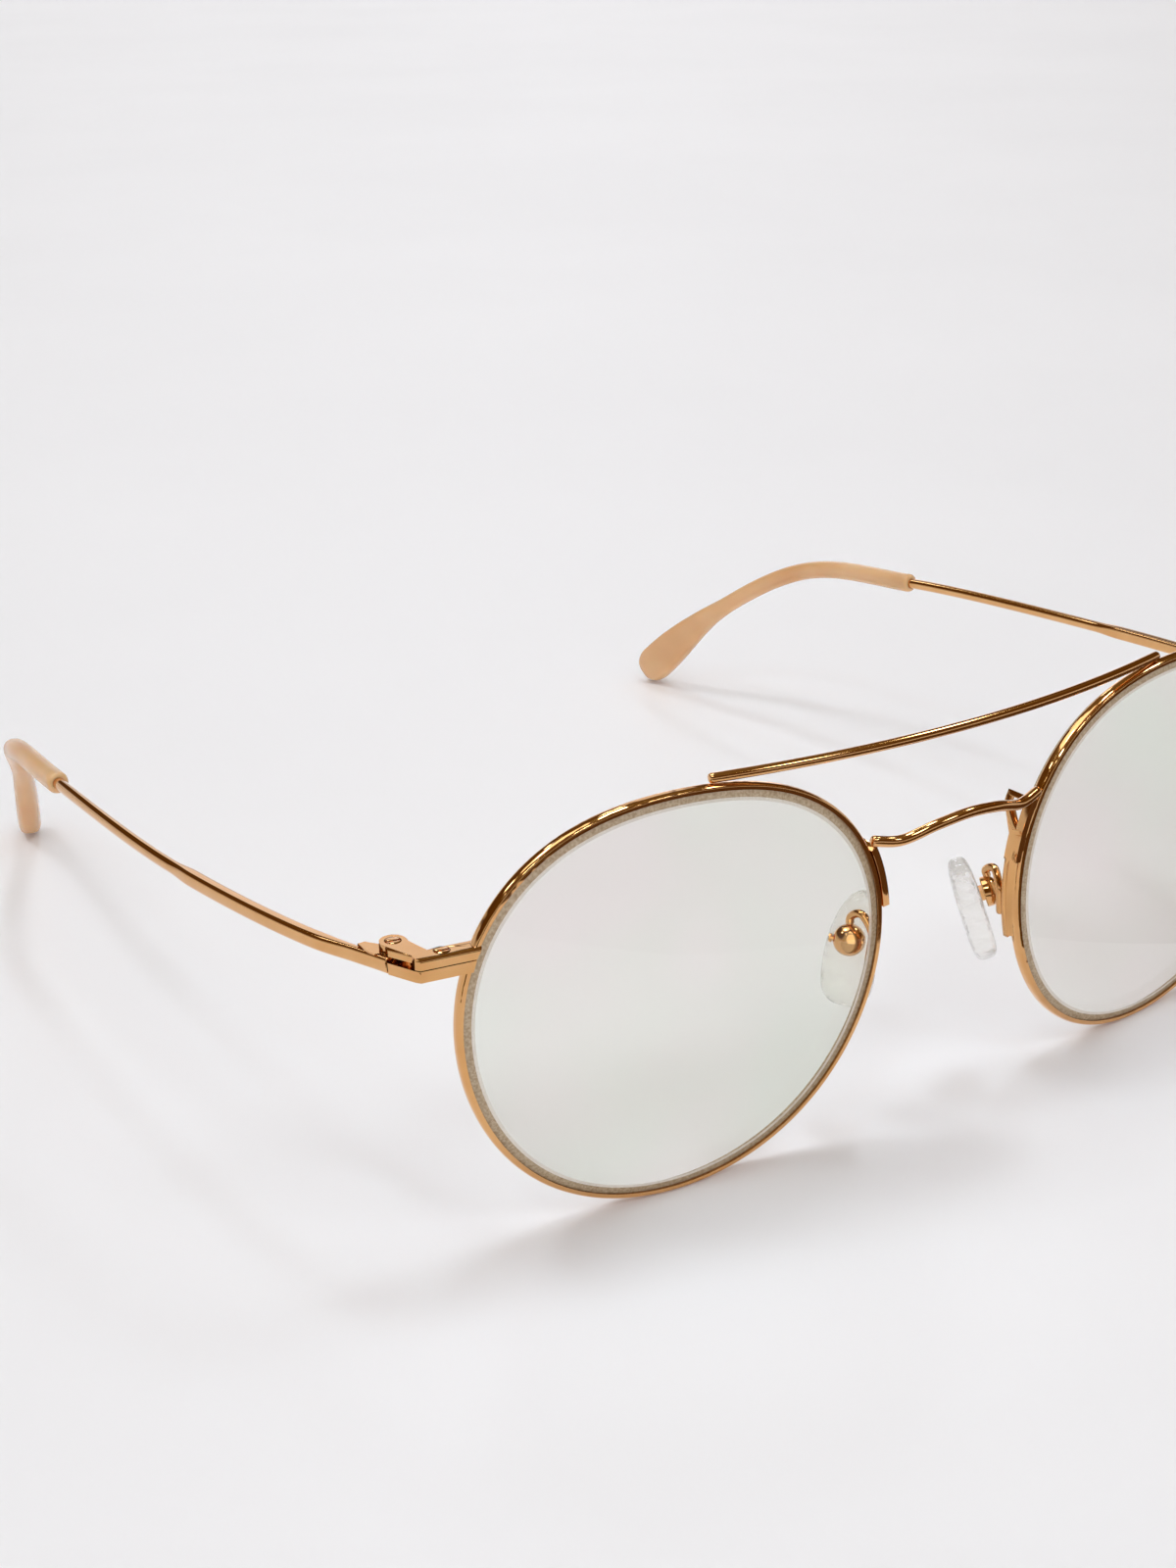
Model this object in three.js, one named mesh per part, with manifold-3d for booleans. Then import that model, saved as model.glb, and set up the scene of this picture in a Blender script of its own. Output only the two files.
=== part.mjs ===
// Round wire eyeglasses with a double bridge, standing open on a table.
// Millimetres, +Z up. The lenses face -Y, the temples run towards +Y, and X = 0 is the plane of symmetry.
import * as THREE from 'three';
import { mergeVertices } from 'three/addons/utils/BufferGeometryUtils.js';
import Module from 'manifold-3d';

const wasm = await Module();
wasm.setup();

// Lens outline: a circle shaped by a few harmonics of the angle.
const LENS_WIDTH = 50.6;
const LENS_HEIGHT = 47;
const LENS_PANTO = 0.58;       // broad above, narrow below
const LENS_CORNERS = 0.26;     // fuller at the four corners
const LENS_SLANT = 0.2;        // leans the outline up towards the temple
const LENS_GAP = 20.6;         // between the two lenses, at the nose

// Lens section
const LENS_THICKNESS = 1.8;
const LENS_FRONT_RADIUS = 130;
const LENS_BACK_RADIUS = 126;
const EDGE_BAND = 1.17;        // ground band in front of the rim, measured along the radius
const EDGE_RISE = 0.3;         // how far that band stands forward of its foot
const EDGE_BREAK = 0.25;       // small chamfer at the back
const BEVEL_HEIGHT = 0.3;      // V edge that sits in the rim's groove
const BEVEL_WIDTH = 0.8;

// Rim
const RIM_WALL = 0.66;
const RIM_DEPTH = 1.35;
const FACE_WRAP = THREE.MathUtils.degToRad(5.5);
const FRONT_TILT = THREE.MathUtils.degToRad(1.9);

// Fits
const SEAT = 0.05;             // pressed, brazed and screwed seats
const RUN = 0.08;              // pieces that turn against each other

// Brow bar
const BAR_DIAMETER = 1.1;
const BAR_ANGLE = THREE.MathUtils.degToRad(82);   // where it lies on the rim, up from the nose side
const BAR_BOW = 3.9;           // forward at the middle

// Bridge and its brackets
const BRIDGE_DIAMETER = 1.25;
const BRIDGE_BOW = 2;          // forward at the middle
const BRIDGE_RISE = 1.05;      // up at the middle
const BRIDGE_DIP = 0.5;        // down beside each bracket
const BRIDGE_DIP_AT = 0.72;    // place of the dip, as a share of the way from middle to end
const BRIDGE_AHEAD = 0.5;      // ends ahead of the rim's middle
const BRIDGE_OVER = 0.39;      // ends above the bracket's head
const BRACKET_WALL = 0.75;
const BRACKET_TOP = THREE.MathUtils.degToRad(25.5);
const BRACKET_FORK = THREE.MathUtils.degToRad(15.5);
const BRACKET_LOW = THREE.MathUtils.degToRad(-14);
const BRACKET_CUT = THREE.MathUtils.degToRad(9);     // where the plate beside the rim stops
const BRACKET_STRIP = 1.2;     // depth of the plate below its fork
const BRACKET_STRAP = 0.65;    // thickness of the strap behind the rim
const BRACKET_HEAD = 3.7;      // depth of the forked head
const BRACKET_LEG = 0.6;       // width of the fork's legs

// Nose pads
const PAD_LENGTH = 13.2;
const PAD_WIDTH = 6.4;
const PAD_THICKNESS = 3;
const PAD_ROUND = 1.1;         // edge rounding
const PAD_OFFSET = 1.1;        // pad centre below its pivot
const PAD_SPLAY = THREE.MathUtils.degToRad(40);
const PAD_LEAN = THREE.MathUtils.degToRad(19);
const PIVOT_BACK = 4.4;        // pivot behind the rim
const PIVOT_OUT = 1.5;         // pivot out from the rim's nose side
const PIVOT_DROP = 1.6;        // pivot below the lens centre
const BOX_DIAMETER = 3.6;
const BOX_DEPTH = 2;
const BOX_WALL = 0.3;
const PAD_GAP = 0.35;          // box to pad, room to rock
const CORE_LENGTH = 4.6;
const CORE_WIDTH = 2.4;
const CORE_THICKNESS = 0.6;
const TONGUE_WIDTH = 1.5;
const TONGUE_HEIGHT = 1.3;
const PAD_SCREW_DIAMETER = 0.6;
const PAD_SCREW_HEAD = 1;
const PAD_SCREW_HEAD_HEIGHT = 0.25;
const ARM_DIAMETER = 0.95;
const ARM_FOOT = 3.4;          // arm's foot below the lens centre
const ARM_LOOP = 1.8;          // top of the arm's loop above the lens centre

// End pieces: a split block that closes the rim and carries the hinge
const BLOCK_BOTTOM = 8.85;     // above the lens centre
const BLOCK_HEIGHT = 2.6;
const BLOCK_SPLIT = 0.1;       // gap between the two halves
const BLOCK_LENGTH = 6.4;      // from the rim's inner edge to the corner
const BLOCK_DEPTH = 2.2;
const BLOCK_FRONT = 1.3;       // front face ahead of the lens plane
const END_SWEEP = THREE.MathUtils.degToRad(4);    // block swept back from the rim's plane
const BLOCK_CORNER = 0.45;
const RETURN_OUT = 2;          // outward run of the lower half behind the corner
const CLOSING_SCREW_AT = 3.1;  // in from the block's corner
const SCREW_DIAMETER = 0.9;
const SCREW_HEAD = 1.65;
const SCREW_HEAD_HEIGHT = 0.38;
const SLOT_WIDTH = 0.28;
const SLOT_DEPTH = 0.2;

// Hinge
const PIN_OUT = 0.5;           // pin out from the block's corner
const PIN_BACK = 5.2;          // pin behind the block's front face
const KNUCKLE_RADIUS = 1.4;

// Temples, by places along and across, counted from the hinge pin
const TEMPLE_HEIGHT = 1.7;
const TEMPLE_WALL = 1.1;       // bar's thickness beside the hinge
const BAR_WALL = 1.65;         // and behind it
const SWELL_FROM = 5;          // along the bar, where it starts to thicken
const SWELL_LENGTH = 6;
const TEMPLE_AHEAD = 1.5;      // bar ahead of the pin
const TEMPLE_BESIDE = 1.25;    // bar's front end, out from the pin
const TEMPLE_BOW = 6.2;        // widest place out from the pin
const TEMPLE_BOW_AT = 40;
const TEMPLE_BEND_AT = 99;     // where the ear bend starts
const TEMPLE_BEND_DROP = 9.3;  // drop from the hinge to the ear bend
const TEMPLE_FALL = 0.079;     // slope of the straight run before it
const TEMPLE_REACH = 128;      // back to the end
const TEMPLE_TOE_IN = 9.2;     // end, in from the pin
const BAR_LENGTH = 36;
const TAPER_LENGTH = 5;
const WIRE_DIAMETER = 1.5;

// Temple tips
const TIP_LENGTH = 62.5;
const TIP_MOUTH = 2.7;         // outer diameter where the wire enters
const TIP_PADDLE = 6;          // height of the flared end
const TIP_THICKNESS = 3.3;
const TIP_ROUND = 2.2;         // rounding of the paddle's end
const TIP_CLOSED = 12;         // solid end beyond the core wire
const BORE_PLAY = 0.09;

const SEGMENTS = 54;
const AXIS_X = new THREE.Vector3(1, 0, 0);
const AXIS_Y = new THREE.Vector3(0, 1, 0);
const AXIS_Z = new THREE.Vector3(0, 0, 1);

// Colours and finishes
const metal = new THREE.MeshStandardMaterial({ color: 0xd89b66, metalness: 1, roughness: 0.18 });
const glass = new THREE.MeshStandardMaterial({ color: 0xf0f0ea, metalness: 0, roughness: 0.05 });
const silicone = new THREE.MeshStandardMaterial({ color: 0xe6e4e0, metalness: 0, roughness: 0.35 });
const acetate = new THREE.MeshStandardMaterial({ color: 0xcd9b6e, metalness: 0, roughness: 0.3 });

// Values worked out from the driving dimensions
const meanRadius = (LENS_WIDTH + LENS_HEIGHT) / 4 + LENS_CORNERS;
const widening = (LENS_WIDTH - LENS_HEIGHT) / 4;
const lipRadius = meanRadius - BEVEL_HEIGHT + SEAT;
const rimRadius = lipRadius + RIM_WALL;
const eyeX = (LENS_GAP + LENS_WIDTH) / 2;

// Lens radius at an angle from the nose side, upwards positive.
function lensRadius(angle) {
  return meanRadius + widening * Math.cos(2 * angle) + LENS_PANTO * Math.sin(3 * angle)
    - LENS_CORNERS * Math.cos(4 * angle) - LENS_SLANT * Math.sin(2 * angle);
}

// Point in the lens plane of the left eye, at an angle and at a radius of the round form.
function onOutline(angle, radius, depth = 0) {
  const r = radius * lensRadius(angle) / meanRadius;
  return new THREE.Vector3(-r * Math.cos(angle), depth, r * Math.sin(angle));
}

// Round forms about the Y axis take on the lens outline.
function shapeToLens(geometry) {
  const position = geometry.attributes.position;
  for (let i = 0; i < position.count; i += 1) {
    const angle = Math.atan2(position.getZ(i), -position.getX(i));
    const scale = lensRadius(angle) / meanRadius;
    position.setXYZ(i, position.getX(i) * scale, position.getY(i), position.getZ(i) * scale);
  }
  return geometry;
}

// Closed mesh to solid: shared vertices merged, empty triangles dropped.
function solid(geometry) {
  const bare = geometry.clone();
  bare.deleteAttribute('normal');
  bare.deleteAttribute('uv');
  const merged = mergeVertices(bare, 1e-4);
  const index = merged.index.array;
  const kept = [];
  for (let i = 0; i < index.length; i += 3) {
    const [a, b, c] = [index[i], index[i + 1], index[i + 2]];
    if (a !== b && b !== c && c !== a) kept.push(a, b, c);
  }
  return new wasm.Manifold(new wasm.Mesh({
    numProp: 3,
    vertProperties: new Float32Array(merged.attributes.position.array),
    triVerts: new Uint32Array(kept),
  }));
}

function geometryOf(body) {
  const mesh = body.getMesh();
  const geometry = new THREE.BufferGeometry();
  geometry.setAttribute('position', new THREE.BufferAttribute(mesh.vertProperties, 3));
  geometry.setIndex(new THREE.BufferAttribute(mesh.triVerts, 1));
  return geometry;
}

// Mirror image across X = 0, with its faces turned outwards again.
function mirrored(geometry) {
  const copy = geometry.clone().scale(-1, 1, 1);
  const index = copy.index.array;
  for (let i = 0; i < index.length; i += 3) {
    [index[i + 1], index[i + 2]] = [index[i + 2], index[i + 1]];
  }
  return copy;
}

// Lathe about Y from [radius, depth] points.
function turned(points, segments = SEGMENTS) {
  return new THREE.LatheGeometry(points.map(([r, y]) => new THREE.Vector2(r, y)), segments);
}

// Flat outline in X and Y, raised from low to high along Z.
function raised(points, low, high) {
  const outline = new THREE.Shape(points.map(([x, y]) => new THREE.Vector2(x, y)));
  const geometry = new THREE.ExtrudeGeometry(outline, { depth: high - low, bevelEnabled: false });
  return geometry.translate(0, 0, low);
}

// Upright round post at (x, y), from low to high.
function post(x, y, radius, low, high, sides = 24) {
  const geometry = new THREE.CylinderGeometry(radius, radius, high - low, sides);
  return geometry.rotateX(Math.PI / 2).translate(x, y, (low + high) / 2);
}

// Rod along a curve. section(share) gives half width, half height and roundness:
// 1 for a round section, less for a squarer one.
function rod(curve, section, sides, steps, stretch = {}) {
  const { across = AXIS_Z, from = 0, to = 1, gather = 1 } = stretch;
  const geometry = new THREE.CylinderGeometry(1, 1, 1, sides, steps);
  const position = geometry.attributes.position;
  const bulge = (value, roundness) => {
    const size = Math.abs(value) < 1e-6 ? 0 : Math.abs(value) ** roundness;
    return Math.sign(value) * size;
  };
  for (let i = 0; i < position.count; i += 1) {
    const share = 1 - (1 - (position.getY(i) + 0.5)) ** gather;
    const place = from + (to - from) * share;
    const tangent = curve.getTangentAt(place);
    const side = new THREE.Vector3().crossVectors(tangent, across).normalize();
    const up = new THREE.Vector3().crossVectors(side, tangent);
    const [width, height, roundness] = section(share);
    const point = curve.getPointAt(place)
      .addScaledVector(side, width * bulge(position.getX(i), roundness))
      .addScaledVector(up, height * bulge(position.getZ(i), roundness));
    position.setXYZ(i, point.x, point.y, point.z);
  }
  return geometry;
}

// Slotted screw standing on Z, its head's top at `top`.
function screw(x, y, top, length, size = {}) {
  const { diameter = SCREW_DIAMETER, head = SCREW_HEAD, cap = SCREW_HEAD_HEIGHT } = size;
  const shank = post(x, y, diameter / 2, top - length, top - cap / 2, 16);
  const disc = post(x, y, head / 2, top - cap, top, 24);
  const slot = new THREE.BoxGeometry(2 * head, SLOT_WIDTH, 2 * SLOT_DEPTH).translate(x, y, top);
  return solid(disc).add(solid(shank)).subtract(solid(slot));
}

// Hole for such a screw, with a seat for its head.
function screwHole(x, y, top, length) {
  const bore = post(x, y, SCREW_DIAMETER / 2 + SEAT, top - length, top + 1, 16);
  const seat = post(x, y, SCREW_HEAD / 2 + SEAT, top - SCREW_HEAD_HEIGHT - SEAT, top + 1, 24);
  return solid(bore).add(solid(seat));
}

// Rim wire: rounded outside, V groove inside, open where the end piece closes it.
function rim() {
  const half = RIM_DEPTH / 2;
  const groove = BEVEL_WIDTH / 2 + SEAT;
  const shoulder = lipRadius + RIM_WALL * 0.55;
  const crown = lipRadius + RIM_WALL * 0.88;
  const ring = shapeToLens(turned([
    [lipRadius, -groove], [lipRadius, -half], [shoulder, -half],
    [crown, -half * 0.62], [rimRadius, 0], [crown, half * 0.62],
    [shoulder, half], [lipRadius, half], [lipRadius, groove],
    [meanRadius + SEAT, 0], [lipRadius, -groove],
  ]));
  const opening = new THREE.BoxGeometry(rimRadius, 10 * RIM_DEPTH, BLOCK_HEIGHT + 2 * SEAT)
    .translate(rimRadius, 0, BLOCK_BOTTOM + BLOCK_HEIGHT / 2)
    .rotateX(-FRONT_TILT);
  return solid(ring).subtract(solid(opening));
}

// Meniscus lens: V edge in the groove, ground band in front of it, shallow caps front and back.
function lens() {
  const base = meanRadius - BEVEL_HEIGHT;
  const frontEdge = base - EDGE_BAND;
  const backEdge = base - EDGE_BREAK;
  const foot = -BEVEL_WIDTH / 2;
  const brow = foot - EDGE_RISE;
  const sag = (radius, r) => radius - Math.sqrt(radius * radius - r * r);
  const frontPole = brow - sag(LENS_FRONT_RADIUS, frontEdge);
  const backPole = frontPole + LENS_THICKNESS;
  const front = [0, 0.5, 1].map((s) => [s * frontEdge, frontPole + sag(LENS_FRONT_RADIUS, s * frontEdge)]);
  const back = [1, 0.5, 0].map((s) => [s * backEdge, backPole + sag(LENS_BACK_RADIUS, s * backEdge)]);
  return shapeToLens(turned([...front, [base, foot], [meanRadius, 0], [base, -foot], ...back]));
}

// Space that the lens and its groove take out of the end piece.
function lensSpace() {
  const groove = BEVEL_WIDTH / 2 + SEAT;
  const deep = 3 * BLOCK_DEPTH;
  return shapeToLens(turned([
    [0, -deep], [lipRadius, -deep], [lipRadius, -groove], [meanRadius + SEAT, 0],
    [lipRadius, groove], [lipRadius, deep], [0, deep],
  ])).rotateX(FRONT_TILT).translate(-endX, 0, 0).rotateZ(-END_SWEEP);
}

// Forked bracket: a plate on the rim's nose side, under the bridge, and a strap down the rim's back.
function bracket() {
  const inner = rimRadius + SEAT;
  const outer = inner + BRACKET_WALL;
  const front = -BRACKET_STRIP / 2;
  // Part of a ring, from a high angle down to a low one.
  const sector = (high, low, inside, outside, ahead, depth) => {
    const shape = new THREE.Shape();
    shape.absarc(0, 0, outside, Math.PI - high, Math.PI - low, false);
    shape.absarc(0, 0, inside, Math.PI - low, Math.PI - high, true);
    const plate = { depth, bevelEnabled: false, curveSegments: 16 };
    return solid(shapeToLens(new THREE.ExtrudeGeometry(shape, plate)
      .rotateX(Math.PI / 2).translate(0, ahead + depth, 0)));
  };
  const height = (angle) => onOutline(angle, outer).z;
  const behind = front + BRACKET_HEAD;
  const neck = front + BRACKET_STRIP + BRACKET_LEG;
  const top = height(BRACKET_TOP);
  const shoulder = top - 2 * BRACKET_LEG;
  const fork = height(BRACKET_FORK);
  const below = height(BRACKET_CUT) - 1;
  // Both cuts are drawn in depth and height and pushed through along X.
  const through = (points) => solid(raised(points, 0, 2 * outer)
    .applyMatrix4(new THREE.Matrix4().makeBasis(AXIS_Y, AXIS_Z, AXIS_X))
    .translate(-2 * outer, 0, 0));
  const wedge = through([
    [neck, below], [behind + 1, below], [behind + 1, shoulder], [behind, shoulder], [neck, fork],
  ]);
  const window = through([
    [neck - BRACKET_LEG * 1.3, fork + BRACKET_LEG], [behind - BRACKET_LEG, shoulder],
    [behind - BRACKET_LEG, top - BRACKET_LEG], [neck - BRACKET_LEG * 1.3, top - BRACKET_LEG],
  ]);
  const strap = sector(BRACKET_FORK, Math.min(BRACKET_LOW, BRACKET_FORK - 0.1), rimRadius - RIM_WALL * 0.8,
    rimRadius + BRACKET_WALL / 2, RIM_DEPTH / 2 + SEAT, BRACKET_STRAP);
  return sector(BRACKET_TOP, BRACKET_CUT, inner, outer, front, BRACKET_HEAD)
    .subtract(wedge).subtract(window).add(strap);
}

// Place of the pad's pivot in the eye's frame.
function pivotPlace() {
  return new THREE.Vector3(-(onOutline(0, rimRadius).length() - PIVOT_OUT), PIVOT_BACK, -PIVOT_DROP);
}

// Pad arm: a hook that rises from the bracket, loops over and comes down on the pad box.
function padArm() {
  const pivot = pivotPlace();
  const strap = RIM_DEPTH / 2 + BRACKET_STRAP + ARM_DIAMETER / 2 + 2 * SEAT;
  const beside = rimRadius;
  const rise = new THREE.Vector3(0, Math.sin(PAD_LEAN), Math.cos(PAD_LEAN))
    .applyAxisAngle(AXIS_Z, Math.PI / 2 - PAD_SPLAY);
  const landing = pivot.clone().addScaledVector(rise, BOX_DIAMETER / 2 + SEAT);
  const tilted = (angle) => onOutline(angle, beside, strap).applyAxisAngle(AXIS_X, FRONT_TILT);
  const foot = tilted(-Math.asin(ARM_FOOT / rimRadius));
  const shin = tilted(-Math.asin(ARM_FOOT / rimRadius) / 2);
  const knee = tilted(0).add(new THREE.Vector3(0, ARM_DIAMETER / 6, 0));
  const crest = new THREE.Vector3().lerpVectors(knee, landing, 0.5).setZ(ARM_LOOP);
  const approach = landing.clone().addScaledVector(rise, ARM_DIAMETER);
  const path = new THREE.CatmullRomCurve3([foot, shin, knee, crest, approach, landing]);
  const half = ARM_DIAMETER / 2;
  return rod(path, () => [half, half, 1], 10, 20, { across: AXIS_X });
}

// The pad's pieces lie in the pad's frame: X along the screw, Y towards the nose, Z along the pad.
const boxFront = BOX_DEPTH / 2;
const padBack = boxFront + PAD_GAP;

// Cross hole for the pad screw, with play around it.
function padBore(play) {
  const radius = PAD_SCREW_DIAMETER / 2 + play;
  return solid(post(0, 0, radius, -BOX_DIAMETER, BOX_DIAMETER, 12).rotateY(Math.PI / 2));
}

function padBox() {
  const outer = BOX_DIAMETER / 2;
  const inner = outer - BOX_WALL;
  const back = -boxFront;
  const cup = turned([
    [0, back], [outer * 0.7, back], [outer, back + outer * 0.3], [outer, boxFront], [inner, boxFront],
    [inner, back + BOX_WALL], [0, back + BOX_WALL],
  ], 24);
  return solid(cup).subtract(padBore(SEAT));
}

function padScrew() {
  const reach = BOX_DIAMETER / 2;
  const shape = screw(0, 0, reach + PAD_SCREW_HEAD_HEIGHT + SEAT, 2 * reach + PAD_SCREW_HEAD_HEIGHT, {
    diameter: PAD_SCREW_DIAMETER, head: PAD_SCREW_HEAD, cap: PAD_SCREW_HEAD_HEIGHT,
  });
  return geometryOf(shape).rotateY(Math.PI / 2);
}

// Metal plate moulded into the pad, with the tongue that the screw holds.
function padCore() {
  const tongueBack = -boxFront + BOX_WALL + 2 * RUN;
  const plate = new THREE.BoxGeometry(CORE_WIDTH, CORE_THICKNESS, CORE_LENGTH)
    .translate(0, padBack + CORE_THICKNESS / 2, -PAD_OFFSET);
  const tongueLength = padBack + CORE_THICKNESS / 2 - tongueBack;
  const tongue = new THREE.BoxGeometry(TONGUE_WIDTH, tongueLength, TONGUE_HEIGHT)
    .translate(0, tongueBack + tongueLength / 2, 0);
  return solid(plate).add(solid(tongue)).subtract(padBore(RUN));
}

// Silicone pad: a rounded D, flat edge away from the face, with a pocket for the core.
function nosePad() {
  const w = PAD_WIDTH / 2 - PAD_ROUND;
  const l = PAD_LENGTH / 2 - PAD_ROUND;
  const outline = new THREE.Shape();
  outline.moveTo(-w, -l * 0.6);
  outline.bezierCurveTo(-w, -l * 1.12, w, -l * 1.15, w, -l * 0.5);
  outline.bezierCurveTo(w, l * 0.3, w * 0.6, l, -w * 0.2, l);
  outline.bezierCurveTo(-w * 0.8, l, -w, l * 0.5, -w, -l * 0.6);
  const body = new THREE.ExtrudeGeometry(outline, {
    depth: PAD_THICKNESS - 2 * PAD_ROUND, bevelEnabled: true, bevelSize: PAD_ROUND,
    bevelThickness: PAD_ROUND, bevelSegments: 3, curveSegments: 7,
  }).rotateX(Math.PI / 2).translate(0, padBack + PAD_THICKNESS - PAD_ROUND, -PAD_OFFSET);
  const room = 2 * SEAT;
  const pocket = new THREE.BoxGeometry(CORE_WIDTH + room, 2 * CORE_THICKNESS + room, CORE_LENGTH + room)
    .translate(0, padBack, -PAD_OFFSET);
  return solid(body).subtract(solid(pocket));
}

// End piece, in a frame at the rim's inner edge: X outwards, top level. Levels count from the lens centre.
const blockTop = BLOCK_BOTTOM + BLOCK_HEIGHT;
const splitLevel = BLOCK_BOTTOM + BLOCK_HEIGHT / 2;
const knuckleHeight = (BLOCK_HEIGHT - 2 * RUN) / 3;
const blockFront = -BLOCK_FRONT;
const blockBack = blockFront + BLOCK_DEPTH;
const rimAngle = Math.PI - Math.asin(splitLevel / rimRadius);
const endX = onOutline(rimAngle, lipRadius).x;
const blockRoot = -RIM_WALL;
const corner = BLOCK_LENGTH;
const pin = new THREE.Vector3(corner + PIN_OUT, blockFront + PIN_BACK, 0);
const buttBack = pin.y - TEMPLE_AHEAD - RUN;
const closing = new THREE.Vector3(corner - CLOSING_SCREW_AT, (blockFront + blockBack) / 2, 0);
const screwLength = BLOCK_HEIGHT - SEAT;

function blockBody(low, high) {
  const c = BLOCK_CORNER;
  return solid(raised([
    [blockRoot, blockFront], [corner - c, blockFront], [corner, blockFront + c],
    [corner, blockBack - c], [corner - c, blockBack], [blockRoot, blockBack],
  ], low, high));
}

// Knuckle with the neck that ties it to the block.
function knuckle(low, high, outside) {
  const inside = pin.x - KNUCKLE_RADIUS;
  const neck = raised([
    [corner - 2 * BLOCK_CORNER - KNUCKLE_RADIUS, blockBack - BLOCK_CORNER],
    [corner - BLOCK_CORNER / 2, blockFront + 2 * BLOCK_CORNER], [outside, buttBack - SEAT], [outside, pin.y],
    [inside, pin.y], [inside, pin.y - KNUCKLE_RADIUS / 2],
  ], low, high);
  return solid(neck).add(solid(post(pin.x, pin.y, KNUCKLE_RADIUS, low, high)));
}

function upperBlock() {
  const low = blockTop - knuckleHeight;
  return blockBody(splitLevel + BLOCK_SPLIT / 2, blockTop)
    .add(knuckle(low, blockTop, pin.x + KNUCKLE_RADIUS * 0.8))
    .subtract(solid(lensSpace()))
    .subtract(screwHole(closing.x, closing.y, blockTop, BLOCK_HEIGHT))
    .subtract(screwHole(pin.x, pin.y, blockTop, BLOCK_HEIGHT));
}

function lowerBlock() {
  const high = splitLevel - BLOCK_SPLIT / 2;
  const flare = raised([
    [corner - BLOCK_CORNER, blockFront], [corner, blockFront + BLOCK_CORNER],
    [corner + RETURN_OUT, buttBack - SEAT], [pin.x - KNUCKLE_RADIUS, buttBack - SEAT],
    [corner - 2 * BLOCK_CORNER - KNUCKLE_RADIUS, blockBack - BLOCK_CORNER],
  ], BLOCK_BOTTOM, high);
  return blockBody(BLOCK_BOTTOM, high)
    .add(solid(flare))
    .add(knuckle(BLOCK_BOTTOM, BLOCK_BOTTOM + knuckleHeight, pin.x - RUN))
    .subtract(solid(templeSpace()))
    .subtract(solid(lensSpace()))
    .subtract(screwHole(closing.x, closing.y, blockTop, BLOCK_HEIGHT + 1))
    .subtract(screwHole(pin.x, pin.y, blockTop, BLOCK_HEIGHT + 1));
}

// Temple, in a frame at the hinge pin: Z = 0 is the lens centre's height.
const eyeHeight = onOutline(-Math.PI / 2, rimRadius).length() * Math.cos(FRONT_TILT)
  + RIM_DEPTH / 2 * Math.sin(FRONT_TILT) * 0.5;
const barLevel = BLOCK_BOTTOM + TEMPLE_HEIGHT / 2;
const footLevel = TIP_PADDLE * 0.235 - eyeHeight;
const templePath = new THREE.CatmullRomCurve3([
  new THREE.Vector3(TEMPLE_BESIDE, -TEMPLE_AHEAD, barLevel),
  new THREE.Vector3(TEMPLE_BESIDE + (TEMPLE_BOW - TEMPLE_BESIDE) * 0.6, TEMPLE_BOW_AT * 0.28,
    barLevel - TEMPLE_FALL * 0.28 * TEMPLE_BOW_AT),
  new THREE.Vector3(TEMPLE_BOW, TEMPLE_BOW_AT, barLevel - TEMPLE_FALL * TEMPLE_BOW_AT),
  new THREE.Vector3(TEMPLE_BOW * 0.75, TEMPLE_BEND_AT * 0.77,
    barLevel - TEMPLE_FALL * TEMPLE_BEND_AT * 0.77),
  new THREE.Vector3(TEMPLE_BOW * 0.3, TEMPLE_BEND_AT, barLevel - TEMPLE_BEND_DROP),
  new THREE.Vector3(-TEMPLE_TOE_IN * 0.45, (TEMPLE_BEND_AT + TEMPLE_REACH) / 2 + 1,
    barLevel - TEMPLE_BEND_DROP + (footLevel - barLevel + TEMPLE_BEND_DROP) * 0.42),
  new THREE.Vector3(-TEMPLE_TOE_IN, TEMPLE_REACH, footLevel),
], false, 'centripetal');
templePath.arcLengthDivisions = 600;
const templeLength = templePath.getLength();
const mouth = 1 - TIP_LENGTH / templeLength;
const coreEnd = 1 - TIP_CLOSED / templeLength;
const { lerp, smoothstep } = THREE.MathUtils;

// Flat bar that tapers into a round wire; grow widens it for clearances.
function templeRod(grow) {
  const section = (share) => {
    const distance = share * coreEnd * templeLength;
    const swell = smoothstep(distance, SWELL_FROM, SWELL_FROM + SWELL_LENGTH);
    const taper = smoothstep(distance, BAR_LENGTH, BAR_LENGTH + TAPER_LENGTH);
    const width = lerp(lerp(TEMPLE_WALL, BAR_WALL, swell), WIRE_DIAMETER, taper);
    const height = lerp(TEMPLE_HEIGHT, WIRE_DIAMETER, taper);
    return [width / 2 + grow, height / 2 + grow, lerp(0.35, 1, taper)];
  };
  return rod(templePath, section, 12, 36, { to: coreEnd });
}

// Space ahead of the temple's front end, in the end piece's frame.
function templeSpace() {
  return templeRod(RUN).rotateZ(-FACE_WRAP - END_SWEEP).translate(pin.x, pin.y - RUN, 0);
}

function temple() {
  const knuckleTop = BLOCK_BOTTOM + knuckleHeight + RUN;
  const relief = post(0, 0, KNUCKLE_RADIUS + RUN, BLOCK_BOTTOM - 1, knuckleTop);
  return solid(templeRod(0)).subtract(solid(relief));
}

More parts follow.
